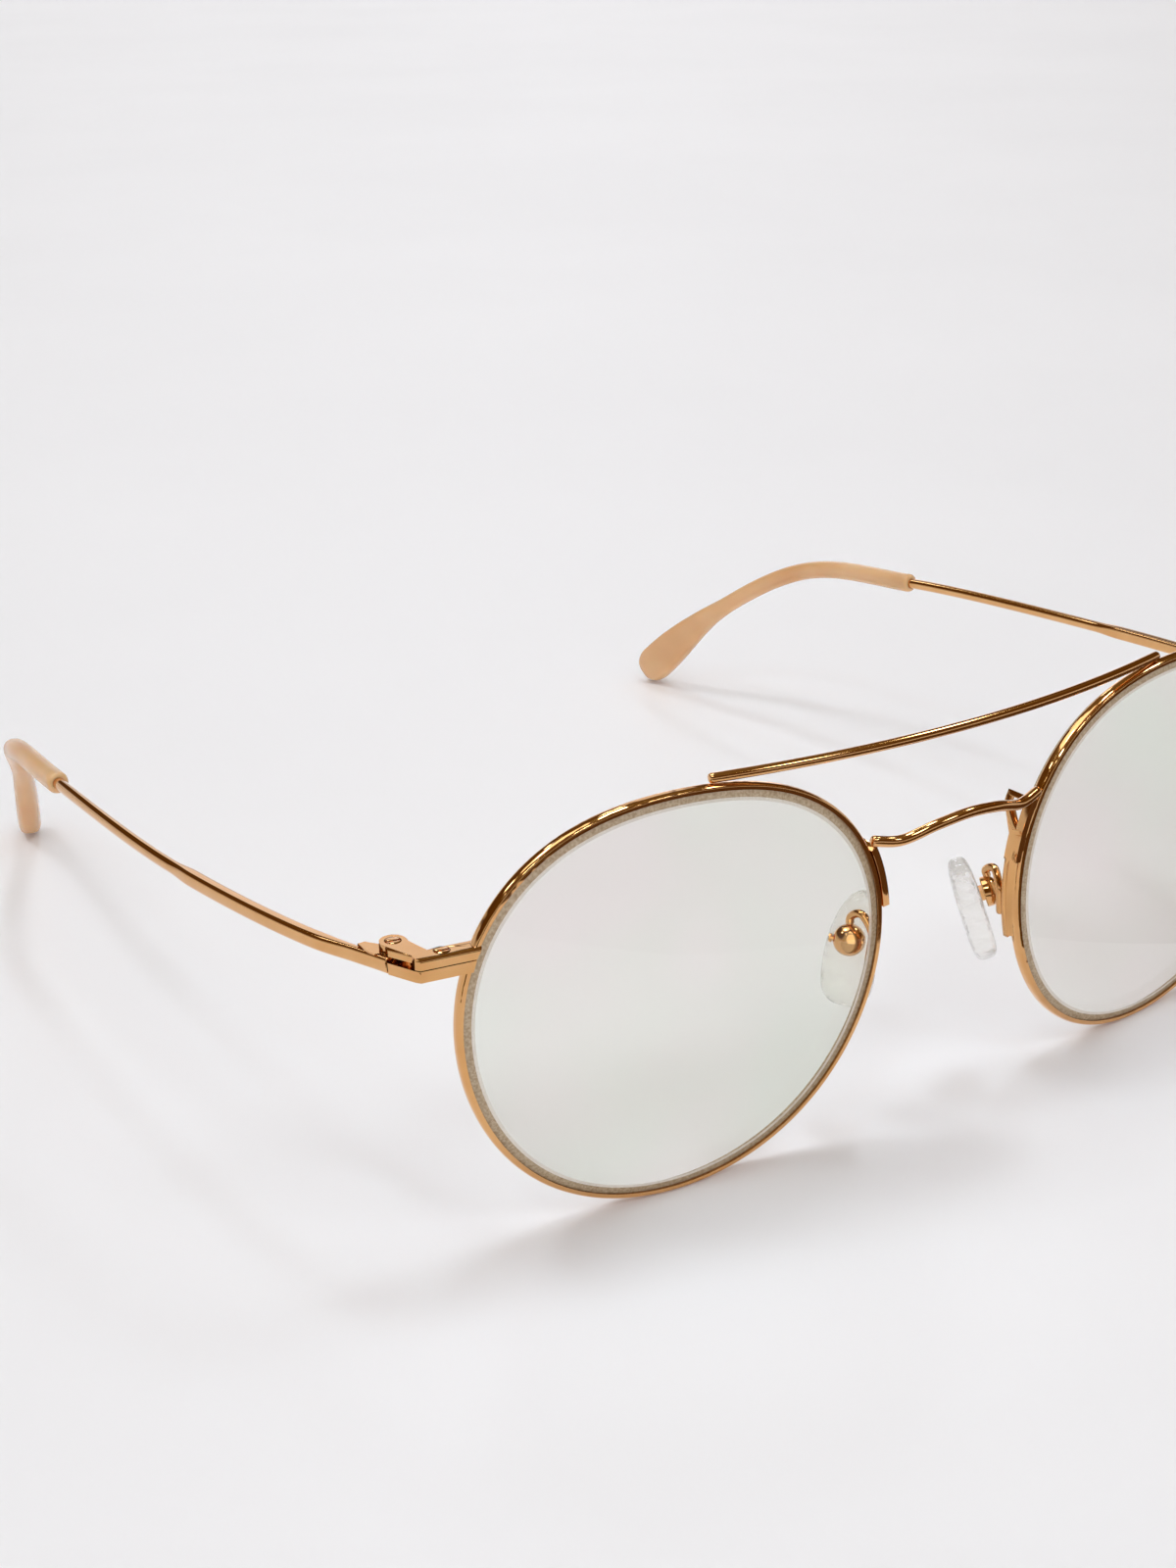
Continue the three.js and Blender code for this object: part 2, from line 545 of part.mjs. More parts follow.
// Middle knuckle with its leaf, brazed to the bar's inner face.
function hingeLeaf() {
  const low = BLOCK_BOTTOM + knuckleHeight + RUN;
  const high = low + knuckleHeight;
  const outer = TEMPLE_BESIDE + TEMPLE_WALL;
  const tail = 2.2 * KNUCKLE_RADIUS;
  const leaf = raised([
    [-KNUCKLE_RADIUS * 0.4, 0], [outer, 0], [outer, tail], [TEMPLE_BESIDE + TEMPLE_WALL / 4, tail],
  ], low, high);
  const away = raised([
    [TEMPLE_BESIDE, -4], [8 * TEMPLE_WALL, -4], [8 * TEMPLE_WALL, 8 * KNUCKLE_RADIUS],
    [TEMPLE_BESIDE + TEMPLE_BOW * 0.55, 8 * KNUCKLE_RADIUS],
  ], low - 1, high + 1);
  return solid(leaf).add(solid(post(0, 0, KNUCKLE_RADIUS, low, high)))
    .subtract(solid(templeRod(SEAT))).subtract(solid(away))
    .subtract(solid(post(0, 0, SCREW_DIAMETER / 2 + RUN, low - 1, high + 1, 16)));
}

// Acetate sleeve: round at the mouth, flared and flattened at the end, bored for the core wire.
function templeTip() {
  const section = (share) => {
    const flare = smoothstep(share, 0.62, 0.93);
    const tail = Math.max(0, share * TIP_LENGTH - (TIP_LENGTH - TIP_ROUND)) / TIP_ROUND;
    const end = Math.cbrt(Math.max(0.05, 1 - tail ** 3));
    const width = lerp(TIP_MOUTH, TIP_THICKNESS, flare) * end;
    const height = lerp(TIP_MOUTH, TIP_PADDLE, flare) * end;
    return [width / 2, height / 2, lerp(0.85, 0.6, flare)];
  };
  const sleeve = rod(templePath, section, 12, 22, { from: mouth, gather: 1.6 });
  const half = WIRE_DIAMETER / 2 + BORE_PLAY;
  const bore = rod(templePath, () => [half, half, 1], 10, 20, { from: mouth - 0.02, to: coreEnd + 0.004 });
  return solid(sleeve).subtract(solid(bore));
}

// Brow bar across the tops of both rims.
function browBar(eye) {
  const rest = onOutline(BAR_ANGLE, rimRadius + BAR_DIAMETER / 2 + SEAT, RIM_DEPTH * 0.2);
  const end = eye.localToWorld(rest.applyAxisAngle(AXIS_X, FRONT_TILT));
  const middle = new THREE.Vector3(0, end.y - BAR_BOW, end.z);
  const control = middle.clone().setY(2 * middle.y - end.y);
  const path = new THREE.QuadraticBezierCurve3(end.clone().setX(-end.x), control, end);
  const half = BAR_DIAMETER / 2;
  return rod(path, () => [half, half, 1], 10, 16);
}

// Saddle bridge: rises from each bracket's head, dips beside it and arches over the nose.
function bridge(eye) {
  const lift = BRIDGE_DIAMETER / 2 + SEAT + BRIDGE_OVER;
  const along = new THREE.Vector3(Math.sin(BRACKET_TOP), 0, Math.cos(BRACKET_TOP));
  const seat = onOutline(BRACKET_TOP, rimRadius + BRIDGE_DIAMETER * 0.4, -BRIDGE_AHEAD)
    .addScaledVector(along, lift);
  const end = eye.localToWorld(seat.applyAxisAngle(AXIS_X, FRONT_TILT));
  const half = [
    end,
    new THREE.Vector3(end.x * BRIDGE_DIP_AT, end.y - BRIDGE_BOW * 0.4, end.z - BRIDGE_DIP),
    new THREE.Vector3(end.x * BRIDGE_DIP_AT / 2, end.y - BRIDGE_BOW * 0.85, end.z + BRIDGE_RISE * 0.55),
  ];
  const middle = new THREE.Vector3(0, end.y - BRIDGE_BOW, end.z + BRIDGE_RISE);
  const far = half.map((p) => p.clone().setX(-p.x));
  const path = new THREE.CatmullRomCurve3([...far, middle, ...half.reverse()]);
  const radius = BRIDGE_DIAMETER / 2;
  return rod(path, () => [radius, radius, 1], 10, 28);
}

const glasses = new THREE.Group();

// Adds a named piece to a group; the right side takes the mirror image.
function piece(parent, name, shape, material, side = 1) {
  const geometry = shape.isBufferGeometry ? shape : geometryOf(shape);
  const mesh = new THREE.Mesh(side < 0 ? mirrored(geometry) : geometry, material);
  mesh.name = name;
  parent.add(mesh);
}

for (const [label, side] of [['left', 1], ['right', -1]]) {
  const eye = new THREE.Group();
  eye.position.set(side * eyeX, 0, eyeHeight);
  eye.rotation.z = side * FACE_WRAP;
  glasses.add(eye);

  const front = new THREE.Group();
  front.rotation.x = FRONT_TILT;
  eye.add(front);
  piece(front, `${label}_rim`, rim(), metal, side);
  piece(front, `${label}_lens`, lens(), glass, side);
  piece(front, `${label}_bridge_bracket`, bracket(), metal, side);

  const end = new THREE.Group();
  end.position.x = side * endX;
  end.rotation.z = side * END_SWEEP;
  eye.add(end);
  piece(end, `${label}_end_piece_upper`, upperBlock(), metal, side);
  piece(end, `${label}_end_piece_lower`, lowerBlock(), metal, side);
  piece(end, `${label}_closing_screw`, screw(closing.x, closing.y, blockTop, screwLength), metal, side);
  piece(end, `${label}_hinge_screw`, screw(pin.x, pin.y, blockTop, screwLength), metal, side);
  piece(eye, `${label}_pad_arm`, padArm(), metal, side);

  const pad = new THREE.Group();
  const pivot = pivotPlace();
  pad.position.set(side * pivot.x, pivot.y, pivot.z);
  pad.rotation.set(-PAD_LEAN, 0, side * (Math.PI / 2 - PAD_SPLAY), 'ZYX');
  eye.add(pad);
  piece(pad, `${label}_pad_box`, padBox(), metal, side);
  piece(pad, `${label}_pad_screw`, padScrew(), metal, side);
  piece(pad, `${label}_pad_core`, padCore(), metal, side);
  piece(pad, `${label}_nose_pad`, nosePad(), silicone, side);

  end.updateWorldMatrix(true, false);
  const hinge = new THREE.Group();
  hinge.position.copy(end.localToWorld(pin.clone().setX(side * pin.x)));
  glasses.add(hinge);
  piece(hinge, `${label}_temple`, temple(), metal, side);
  piece(hinge, `${label}_hinge_leaf`, hingeLeaf(), metal, side);
  piece(hinge, `${label}_temple_tip`, templeTip(), acetate, side);

  if (side > 0) {
    piece(glasses, 'brow_bar', browBar(eye), metal);
    piece(glasses, 'bridge', bridge(eye), metal);
  }
}

// Origin on the table, under the middle of the whole part.
glasses.updateWorldMatrix(true, true);
const box = new THREE.Box3().setFromObject(glasses, true);
glasses.position.set(0, -(box.min.y + box.max.y) / 2, -box.min.z);

export default glasses;
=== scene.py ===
# %% [markdown]
# Round wire eyeglasses stand open on a white table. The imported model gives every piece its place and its
# motion. This lesson dresses those pieces: smooth wires, clear lenses, silicone pads and acetate tips, and
# the plated metal that ties them together. All lengths below are in millimetres until a piece is finished.

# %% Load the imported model
import math
import bmesh
import bpy
from mathutils import Matrix, Vector


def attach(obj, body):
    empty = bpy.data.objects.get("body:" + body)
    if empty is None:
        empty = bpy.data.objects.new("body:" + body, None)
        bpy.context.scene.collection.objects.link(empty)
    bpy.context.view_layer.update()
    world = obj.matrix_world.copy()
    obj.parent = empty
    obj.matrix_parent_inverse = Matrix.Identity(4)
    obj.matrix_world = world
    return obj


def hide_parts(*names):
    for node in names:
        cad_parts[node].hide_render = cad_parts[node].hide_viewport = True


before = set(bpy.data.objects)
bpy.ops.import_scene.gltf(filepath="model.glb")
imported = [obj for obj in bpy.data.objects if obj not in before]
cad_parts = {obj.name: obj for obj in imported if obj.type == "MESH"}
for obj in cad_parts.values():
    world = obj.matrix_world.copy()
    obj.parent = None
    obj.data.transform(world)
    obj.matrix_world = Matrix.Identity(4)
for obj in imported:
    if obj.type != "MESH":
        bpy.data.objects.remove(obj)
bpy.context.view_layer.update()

MM = 0.001
# This script counts from a point on the table, midway between the lenses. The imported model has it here.
SHIFT = Vector((0, -65.4402, -0.0016))

# %% [markdown]
# The camera comes first, so that each piece can be compared with the photograph as it is made. A camera is
# a position and three directions: right, up and back. They are worked out from the azimuth, the elevation
# and a small roll, which keeps the lens free of any shift.

# %% Camera at the photograph's angle
CAMERA_AT = Vector((-165.51, -178.26, 139.41))
AZIMUTH, ELEVATION, ROLL = (math.radians(a) for a in (-33.723, 22.487, -0.659))
FOCAL_PIXELS, LONG_SIDE = 2404, 1600   # in the photograph's pixels
SENSOR, NEAREST = 36, 10

back = Vector((math.sin(AZIMUTH) * math.cos(ELEVATION), -math.cos(AZIMUTH) * math.cos(ELEVATION),
               math.sin(ELEVATION)))
right = Vector((0, 0, 1)).cross(back).normalized()
up = back.cross(right)
turn = Matrix.Rotation(ROLL, 3, back)
lens_data = bpy.data.cameras.new("photo_camera")
lens_data.sensor_width = SENSOR
lens_data.lens = FOCAL_PIXELS / LONG_SIDE * SENSOR
lens_data.clip_start = NEAREST * MM
camera = bpy.data.objects.new("photo_camera", lens_data)
bpy.context.scene.collection.objects.link(camera)
camera.matrix_world = Matrix.Translation((CAMERA_AT + SHIFT) * MM) @ Matrix(
    (turn @ right, turn @ up, back)).transposed().to_4x4()
bpy.context.scene.camera = camera
print("focal length", round(lens_data.lens, 2), "mm")

# %% [markdown]
# Materials are node trees. One function adds a node, sets it and links it. A second turns a hex colour, as
# a picture editor shows it, into the linear numbers that a shader needs. A third starts a material and
# hands back the parts that the rest of the lesson works on.

# %% Helpers for node trees
def linear(hex_colour):
    channels = [int(hex_colour[i:i + 2], 16) / 255 for i in (1, 3, 5)]
    return tuple(c / 12.92 if c <= 0.04045 else ((c + 0.055) / 1.055) ** 2.4 for c in channels) + (1.0,)


def add(tree, kind, settings=None, values=None, links=None):
    made = tree.nodes.new(kind)
    for name, value in (settings or {}).items():
        setattr(made, name, value)
    for name, value in (values or {}).items():
        made.inputs[name].default_value = value
    for name, socket in (links or {}).items():
        tree.links.new(socket, made.inputs[name])
    return made


def new_material(name, values):
    material = bpy.data.materials.new(name)
    material.use_nodes = True
    tree = material.node_tree
    surface = tree.nodes["Principled BSDF"]
    for socket, value in values.items():
        surface.inputs[socket].default_value = value
    place = add(tree, "ShaderNodeTexCoord").outputs["Object"]
    return material, tree, surface, place


print("middle grey is", round(linear("#808080")[0], 3), "in linear light")

# %% [markdown]
# Every surface here varies a little, because a perfectly even one looks false. A cloudy pattern of a real
# size drives that. The pattern can then lead the colour, the gloss and the relief. It reads Object
# coordinates, so it stays on its piece when the piece moves.

# %% Helpers for patterns
def noise(tree, place, size_mm, detail=2.0):
    return add(tree, "ShaderNodeTexNoise", values={"Scale": 1 / (size_mm * MM), "Detail": detail},
               links={"Vector": place}).outputs["Fac"]


def ramp(tree, source, stops):
    made = add(tree, "ShaderNodeValToRGB", links={"Fac": source})
    marks = made.color_ramp.elements
    for mark, (position, colour) in zip(marks, (stops[0], stops[-1])):
        mark.position, mark.color = position, linear(colour)
    for position, colour in stops[1:-1]:
        marks.new(position).color = linear(colour)
    return made.outputs["Color"]


def tint(tree, surface, pattern, dark, light, low=0.3):
    colours = ramp(tree, pattern, [(low, dark), (1 - low, light)])
    tree.links.new(colours, surface.inputs["Base Color"])


def gloss(tree, surface, pattern, smooth, rough, start=0.0, stop=1.0):
    spread = add(tree, "ShaderNodeMapRange", links={"Value": pattern},
                 values={"From Min": start, "From Max": stop, "To Min": smooth, "To Max": rough})
    tree.links.new(spread.outputs["Result"], surface.inputs["Roughness"])


def relief(tree, surface, pattern, strength, depth_mm):
    bump = add(tree, "ShaderNodeBump", values={"Strength": strength, "Distance": depth_mm * MM},
               links={"Height": pattern})
    tree.links.new(bump.outputs["Normal"], surface.inputs["Normal"])


# %% [markdown]
# Rose gold plating on drawn and polished copper alloy, under a thin clear lacquer. It mirrors the room, so
# the eye sees bright tops, dark brown bands and pale floor light, and the lacquer adds whiter glints.
# Handling leaves soft patches a few millimetres wide, and polishing leaves hairlines a tenth of a
# millimetre apart, drawn here at twice that so that they show. The rims were rolled to their curve, which
# leaves a faint ripple about two millimetres long: it breaks long reflections into a row of glints.

# %% Rose gold plating
PATCH_MM, HAIRLINE_MM, RIPPLE_MM = 5.0, 0.2, 1.8


def make_plating(name, wave_mm, strength, depth_mm):
    material, tree, surface, place = new_material(name, {"Metallic": 1.0, "Coat Weight": 0.4})
    patches = noise(tree, place, PATCH_MM, detail=3.0)
    tint(tree, surface, patches, "#DCA465", "#E4B075")
    gloss(tree, surface, patches, smooth=0.05, rough=0.12)
    relief(tree, surface, noise(tree, place, wave_mm, detail=1.0), strength, depth_mm)
    return material


plating = make_plating("rose_gold_plated_polished", HAIRLINE_MM, strength=0.04, depth_mm=0.02)
rolled = make_plating("rose_gold_plated_rolled", RIPPLE_MM, strength=0.45, depth_mm=0.2)
print("made", plating.name, rolled.name)

# %% [markdown]
# The lens is clear cast resin. Its thin anti-reflection coat lets it mirror hardly anything, which a low
# refractive index stands for. Its tint wanders between a trace of pink and a trace of green: partly the
# resin's own faint tint, partly the coat's coloured reflection painted into it. A few smears dull it.

# %% Lens resin
COAT_TINT_AND_SHEEN_MM, SMEAR_MM = 30.0, 9.0
resin, tree, surface, place = new_material("cast_resin_polished_coated", {
    "IOR": 1.25, "Transmission Weight": 1.0})
# partly painted reflection: the coat's pink and green reflection is set as the lens's tint
tint(tree, surface, noise(tree, place, COAT_TINT_AND_SHEEN_MM), "#EBEFE6", "#F1ECE9", low=0.35)
gloss(tree, surface, noise(tree, place, SMEAR_MM, detail=4.0), smooth=0.0, rough=0.02, start=0.5, stop=0.8)
print("made", resin.name)

# %% [markdown]
# The edge of the lens is ground, so it scatters light. The brown of the rim behind it, which that edge
# would scatter back, is painted into its colours, most in the coarse band: a painted reflection. The
# ground band has a coarse outer part and a finer, paler inner part. The grit of a real wheel is about half
# as coarse as here, where it has to show.

# %% Ground lens edge
GRIT_MM, FINE_GRIT_MM, GRIT_DEPTH = 0.3, 0.15, 0.3


def make_ground(name, grit_mm, dark, light, values):
    material, tree, surface, place = new_material(name, values)
    grit = noise(tree, place, grit_mm, detail=3.0)
    tint(tree, surface, grit, dark, light, low=0.35)
    relief(tree, surface, grit, strength=0.25, depth_mm=grit_mm * GRIT_DEPTH)
    return material


# painted reflection: the rim's brown is mixed into the colours of the ground band
ground = make_ground("cast_resin_ground_coarse", GRIT_MM, "#988062", "#BAA68A",
                     {"IOR": 1.5, "Roughness": 0.7, "Transmission Weight": 0.2})
fine_ground = make_ground("cast_resin_ground_fine", FINE_GRIT_MM, "#CCC3B6", "#DFD8CE",
                          {"IOR": 1.5, "Roughness": 0.35, "Transmission Weight": 0.4})
print("made", ground.name, fine_ground.name)

# %% [markdown]
# The pads are clear moulded silicone. It is softer to the eye than glass: a trace of milk in it, a satin
# skin, and soft waves in that skin which bend what is seen through it.

# %% Silicone
CLOUD_MM, WAVE_DEPTH_MM = 2.0, 0.8
silicone, tree, surface, place = new_material("silicone_moulded_clear", {
    "IOR": 1.41, "Transmission Weight": 0.75})
clouds = noise(tree, place, CLOUD_MM, detail=3.0)
tint(tree, surface, clouds, "#F4F3F0", "#FCFBFA")
gloss(tree, surface, clouds, smooth=0.04, rough=0.12)
relief(tree, surface, clouds, strength=0.8, depth_mm=WAVE_DEPTH_MM)
print("made", silicone.name)

# %% [markdown]
# The tips are tan acetate, tumbled to a gloss, faintly clouded and a little translucent. Light goes some two
# millimetres into it and comes out warmer, which subsurface scattering gives.

# %% Acetate
STREAK_MM, LIGHT_DEPTH_MM = 12.0, 2.0
acetate, tree, surface, place = new_material("acetate_tumbled_tan", {
    "IOR": 1.48, "Subsurface Weight": 0.5, "Subsurface Scale": LIGHT_DEPTH_MM * MM,
    "Subsurface Radius": (1.0, 0.6, 0.35), "Coat Weight": 0.1})
streaks = noise(tree, place, STREAK_MM)
tint(tree, surface, streaks, "#CE9E6E", "#D9B186")
gloss(tree, surface, streaks, smooth=0.18, rough=0.28)
print("made", acetate.name)

# %% [markdown]
# Every piece is made once, for the left side, and the right one is its mirror image. A finished mesh goes
# from millimetres to metres, and its object stays at the origin. Edges sharper than a set angle are marked
# sharp, and all the rest shade smoothly. A piece with flat faces gets a Weighted Normal modifier, so that
# each flat mirrors one part of the room and only its bevels turn.

# %% Helpers for pieces
def as_object(bm, name, materials=()):
    mesh = bpy.data.meshes.new(name)
    bm.to_mesh(mesh)
    bm.free()
    for material in materials:
        mesh.materials.append(material)
    made = bpy.data.objects.new(name, mesh)
    bpy.context.scene.collection.objects.link(made)
    return made


def finish(bm, node, body, materials, sharp=40, mirror=False, flat=False):
    place_in_frame = Matrix.Scale(MM, 4) @ Matrix.Translation(SHIFT)
    if mirror:
        place_in_frame = place_in_frame @ Matrix.Scale(-1, 4, (1, 0, 0))
    bmesh.ops.transform(bm, matrix=place_in_frame, verts=bm.verts)
    bmesh.ops.recalc_face_normals(bm, faces=bm.faces)
    for face in bm.faces:
        face.smooth = True
    for edge in bm.edges:
        edge.smooth = edge.calc_face_angle(0) < math.radians(sharp)
    piece = as_object(bm, f"{node}_dressed", materials)
    if flat:
        piece.modifiers.new("flat_faces_stay_flat", "WEIGHTED_NORMAL").keep_sharp = True
    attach(piece, body)
    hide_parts(node)


def both_sides(make, part, body, materials, sharp=40, flat=False):
    for side in ("left", "right"):
        rides = body if body == "front" else f"{side}_{body}"
        finish(make(), f"{side}_{part}", rides, materials, sharp, mirror=side == "right", flat=flat)
    print("made left and right", part)


# %% [markdown]
# A lens outline is nearly a circle: a few waves around it make it broad above and fuller at the corners.
# The rim and the lens are spun as round forms, and one function then pulls every point out to that outline.

# %% The lens outline and the eye's frame
WIDTH, HEIGHT, GAP = 50.6, 47.0, 20.6
PANTO, CORNERS, SLANT = 0.58, 0.26, 0.2   # broad above, fuller at the corners, up towards the temple
MEAN = (WIDTH + HEIGHT) / 4 + CORNERS
EYE_HEIGHT, WRAP, TILT = 24.478, math.radians(5.5), math.radians(1.9)
EYE_FRAME = Matrix.Translation(((WIDTH + GAP) / 2, 0, EYE_HEIGHT)) @ Matrix.Rotation(WRAP, 4, "Z")
LENS_FRAME = EYE_FRAME @ Matrix.Rotation(TILT, 4, "X")


def lens_radius(angle):
    return (MEAN + (WIDTH - HEIGHT) / 4 * math.cos(2 * angle) + PANTO * math.sin(3 * angle)
            - CORNERS * math.cos(4 * angle) - SLANT * math.sin(2 * angle))


def on_outline(angle, radius, depth=0):
    r = radius * lens_radius(angle) / MEAN
    return Vector((-r * math.cos(angle), depth, r * math.sin(angle)))


def shape_to_lens(bm):
    for vert in bm.verts:
        scale = lens_radius(math.atan2(vert.co.z, -vert.co.x)) / MEAN
        vert.co.x *= scale
        vert.co.z *= scale
    bmesh.ops.transform(bm, matrix=LENS_FRAME, verts=bm.verts)


print("mean lens radius", round(MEAN, 2), "mm")

# %% [markdown]
# The rim is a drawn wire with a rounded back and a V groove that holds the lens. Its section is one small
# face: its outer corners are bevelled, the face goes, and the loop of edges is spun round the lens. The ring
# stops inside the end piece, which screws it shut.

# %% Rims
BEVEL_HEIGHT, SEAT = 0.3, 0.05   # the lens's V edge, and the play that pressed and brazed pieces have
WALL, DEPTH = 0.66, 1.35
LIP = MEAN - BEVEL_HEIGHT + SEAT
RIM = LIP + WALL
SHOULDER, BACK_FLAT = 0.72, 0.45   # shares of the wall and of the half depth where the back rounds off
GROOVE, RIM_ROUND = 0.45, 0.14
RING_START, RING_SWEEP = math.radians(-21.1), math.radians(355.6)


def make_rim():
    bm = bmesh.new()
    half, shoulder = DEPTH / 2, LIP + WALL * SHOULDER
    outside = [(shoulder, -half), (RIM, -half * BACK_FLAT), (RIM, half * BACK_FLAT), (shoulder, half)]
    groove = [(LIP, half), (LIP, GROOVE), (MEAN + SEAT, 0), (LIP, -GROOVE)]
    corners = [bm.verts.new((r, y, 0)) for r, y in [(LIP, -half)] + outside + groove]
    bm.faces.new(corners)
    bmesh.ops.bevel(bm, geom=corners[1:1 + len(outside)], offset=RIM_ROUND, offset_type="OFFSET",
                    affect="VERTICES", segments=4, profile=0.5, material=-1)
    bmesh.ops.delete(bm, geom=bm.faces[:], context="FACES_ONLY")
    bmesh.ops.rotate(bm, verts=bm.verts, cent=(0, 0, 0), matrix=Matrix.Rotation(RING_START, 3, "Y"))
    bmesh.ops.spin(bm, geom=bm.verts[:] + bm.edges[:], cent=(0, 0, 0), axis=(0, 1, 0), dvec=(0, 0, 0),
                   angle=RING_SWEEP, steps=200, use_merge=False)
    bmesh.ops.holes_fill(bm, edges=[e for e in bm.edges if e.is_boundary], sides=0)
    shape_to_lens(bm)
    return bm


both_sides(make_rim, "rim", "front", [rolled], sharp=50)

# %% [markdown]
# The lens is a meniscus: both faces bulge forwards. Its section runs from the axis along the front, over the
# polished lip and the ground band, round the V edge, and back along the rear face to the axis. Spinning that
# line makes the lens, and each face is then told which finish it has.

# %% Lenses
FRONT_RADIUS, BACK_RADIUS, THICKNESS = 130.0, 126.0, 1.8
BASE = MEAN - BEVEL_HEIGHT
BAND, FINE_SHARE, RISE, FOOT = 1.17, 0.31, 0.3, 0.4   # the ground band, and half the V edge's width
CREASE, EDGE_BREAK = 0.04, 0.25   # ridge inside that band, and the chamfer at the back
POLISHED, COARSE, FINE = range(3)
FACE_RINGS = 14


def sag(radius, r):
    return radius - math.sqrt(radius * radius - r * r)


def turned(section, steps):
    """Spin a line of (radius, depth) points once round the Y axis."""
    bm = bmesh.new()
    verts = [bm.verts.new((r, y, 0)) for r, y in section]
    for a, b in zip(verts, verts[1:]):
        bm.edges.new((a, b))
    bmesh.ops.spin(bm, geom=bm.verts[:] + bm.edges[:], cent=(0, 0, 0), axis=(0, 1, 0), dvec=(0, 0, 0),
                   angle=math.tau, steps=steps, use_merge=True)
    bmesh.ops.remove_doubles(bm, verts=bm.verts, dist=1e-4)
    return bm


def make_lens():
    lip, middle, back_edge = BASE - BAND, BASE - BAND * (1 - FINE_SHARE), BASE - EDGE_BREAK
    pole = -FOOT - RISE - sag(FRONT_RADIUS, lip)
    shares = [i / FACE_RINGS for i in range(FACE_RINGS + 1)]
    front = [(lip * s, pole + sag(FRONT_RADIUS, lip * s)) for s in shares]
    rear = [(back_edge * s, pole + THICKNESS + sag(BACK_RADIUS, back_edge * s)) for s in reversed(shares)]
    edge = [(middle, -FOOT - RISE * (1 - FINE_SHARE) - CREASE), (BASE, -FOOT), (MEAN, 0), (BASE, FOOT),
            (BASE, rear[0][1] - EDGE_BREAK)]
    bm = turned(front + edge + rear, steps=160)
    for face in bm.faces:
        centre = face.calc_center_median()
        out = math.hypot(centre.x, centre.z)
        if out < lip or (centre.y > FOOT and out < back_edge):
            face.material_index = POLISHED
        else:
            face.material_index = COARSE if out > middle else FINE
    shape_to_lens(bm)
    return bm


both_sides(make_lens, "lens", "front", [resin, ground, fine_ground], sharp=12)

# %% [markdown]
# Wires, bars and sleeves all follow a line. A line needs only a few points: a Catmull-Rom curve runs through
# all of them, and its centripetal form does not overshoot where they stand close together.

# %% A line through points
def curve_through(points, per_span=24):
    """Centripetal Catmull-Rom line, as a list of close points."""
    ends = [points[0] * 2 - points[1]] + list(points) + [points[-1] * 2 - points[-2]]
    line = []
    for p0, p1, p2, p3 in zip(ends, ends[1:], ends[2:], ends[3:]):
        d0, d1, d2 = (math.sqrt((b - a).length) for a, b in ((p0, p1), (p1, p2), (p2, p3)))
        t1 = ((p1 - p0) / d0 - (p2 - p0) / (d0 + d1) + (p2 - p1) / d1) * d1
        t2 = ((p2 - p1) / d1 - (p3 - p1) / (d1 + d2) + (p3 - p2) / d2) * d1
        for i in range(per_span):
            t = i / per_span
            line.append(p1 * (2 * t**3 - 3 * t**2 + 1) + t1 * (t**3 - 2 * t**2 + t)
                        + p2 * (3 * t**2 - 2 * t**3) + t2 * (t**3 - t**2))
    return line + [points[-1]]


def stations(line):
    """Distance along the line at each of its points."""
    total, marks = 0.0, [0.0]
    for a, b in zip(line, line[1:]):
        total += (b - a).length
        marks.append(total)
    return marks


def at(line, marks, distance):
    """Point and direction at a distance along the line."""
    i = 0
    while i < len(marks) - 2 and marks[i + 1] < distance:
        i += 1
    along = line[i + 1] - line[i]
    share = (distance - marks[i]) / (marks[i + 1] - marks[i])
    before = line[max(i - 1, 0) + 1] - line[max(i - 1, 0)]
    after = line[min(i + 2, len(line) - 1)] - line[min(i + 2, len(line) - 1) - 1]
    direction = before.lerp(along, min(share + 0.5, 1)) if share < 0.5 else along.lerp(after, share - 0.5)
    return line[i] + along * share, direction.normalized()


# %% [markdown]
# A section is then carried along the line. A flat grid is rolled up around it: one direction of the grid
# goes round the section, the other goes along the line. Each ring has its own size, so a wire can shrink at
# its ends, which rounds them, and a bar can taper.

# %% A section carried along a line
def squared(value, power):
    """A sine or cosine pushed towards 1, which makes a circle squarer when the power is below 1."""
    return math.copysign(abs(value) ** power, value) if abs(value) > 1e-9 else 0.0


def carried(line, rings, sides=24, across=Vector((0, 0, 1))):
    """rings: (distance, half width, half height, roundness); 1 is round, less is squarer."""
    bm = bmesh.new()
    bmesh.ops.create_grid(bm, x_segments=sides, y_segments=len(rings) - 1, size=1.0)
    marks = stations(line)
    places = [at(line, marks, ring[0]) for ring in rings]
    for vert in bm.verts:
        angle = (vert.co.x + 1) / 2 * math.tau
        ring = round((vert.co.y + 1) / 2 * (len(rings) - 1))
        _, width, height, roundness = rings[ring]
        point, direction = places[ring]
        aside = direction.cross(across).normalized()
        above = aside.cross(direction)
        wide, high = squared(math.cos(angle), roundness), squared(math.sin(angle), roundness)
        vert.co = point + aside * width * wide + above * height * high
    bmesh.ops.remove_doubles(bm, verts=bm.verts, dist=1e-5)
    bmesh.ops.holes_fill(bm, edges=[e for e in bm.edges if e.is_boundary], sides=0)
    return bm


def wire_rings(length, radius, step=0.5, round_ends=0.35):
    """Rings of a plain round wire whose ends are rounded over."""
    ends = [(0.0, 0.45), (0.15, 0.75), (0.45, 0.93), (1.0, 1.0)]   # shares of the rounding and the radius
    start = [(share * round_ends, radius * size, radius * size, 1) for share, size in ends]
    stop = [(length - d, w, h, e) for d, w, h, e in reversed(start)]
    plain = length - 2 * round_ends
    count = max(2, int(plain / step))
    inner = [(round_ends + plain * i / count, radius, radius, 1) for i in range(1, count)]
    return start + inner + stop


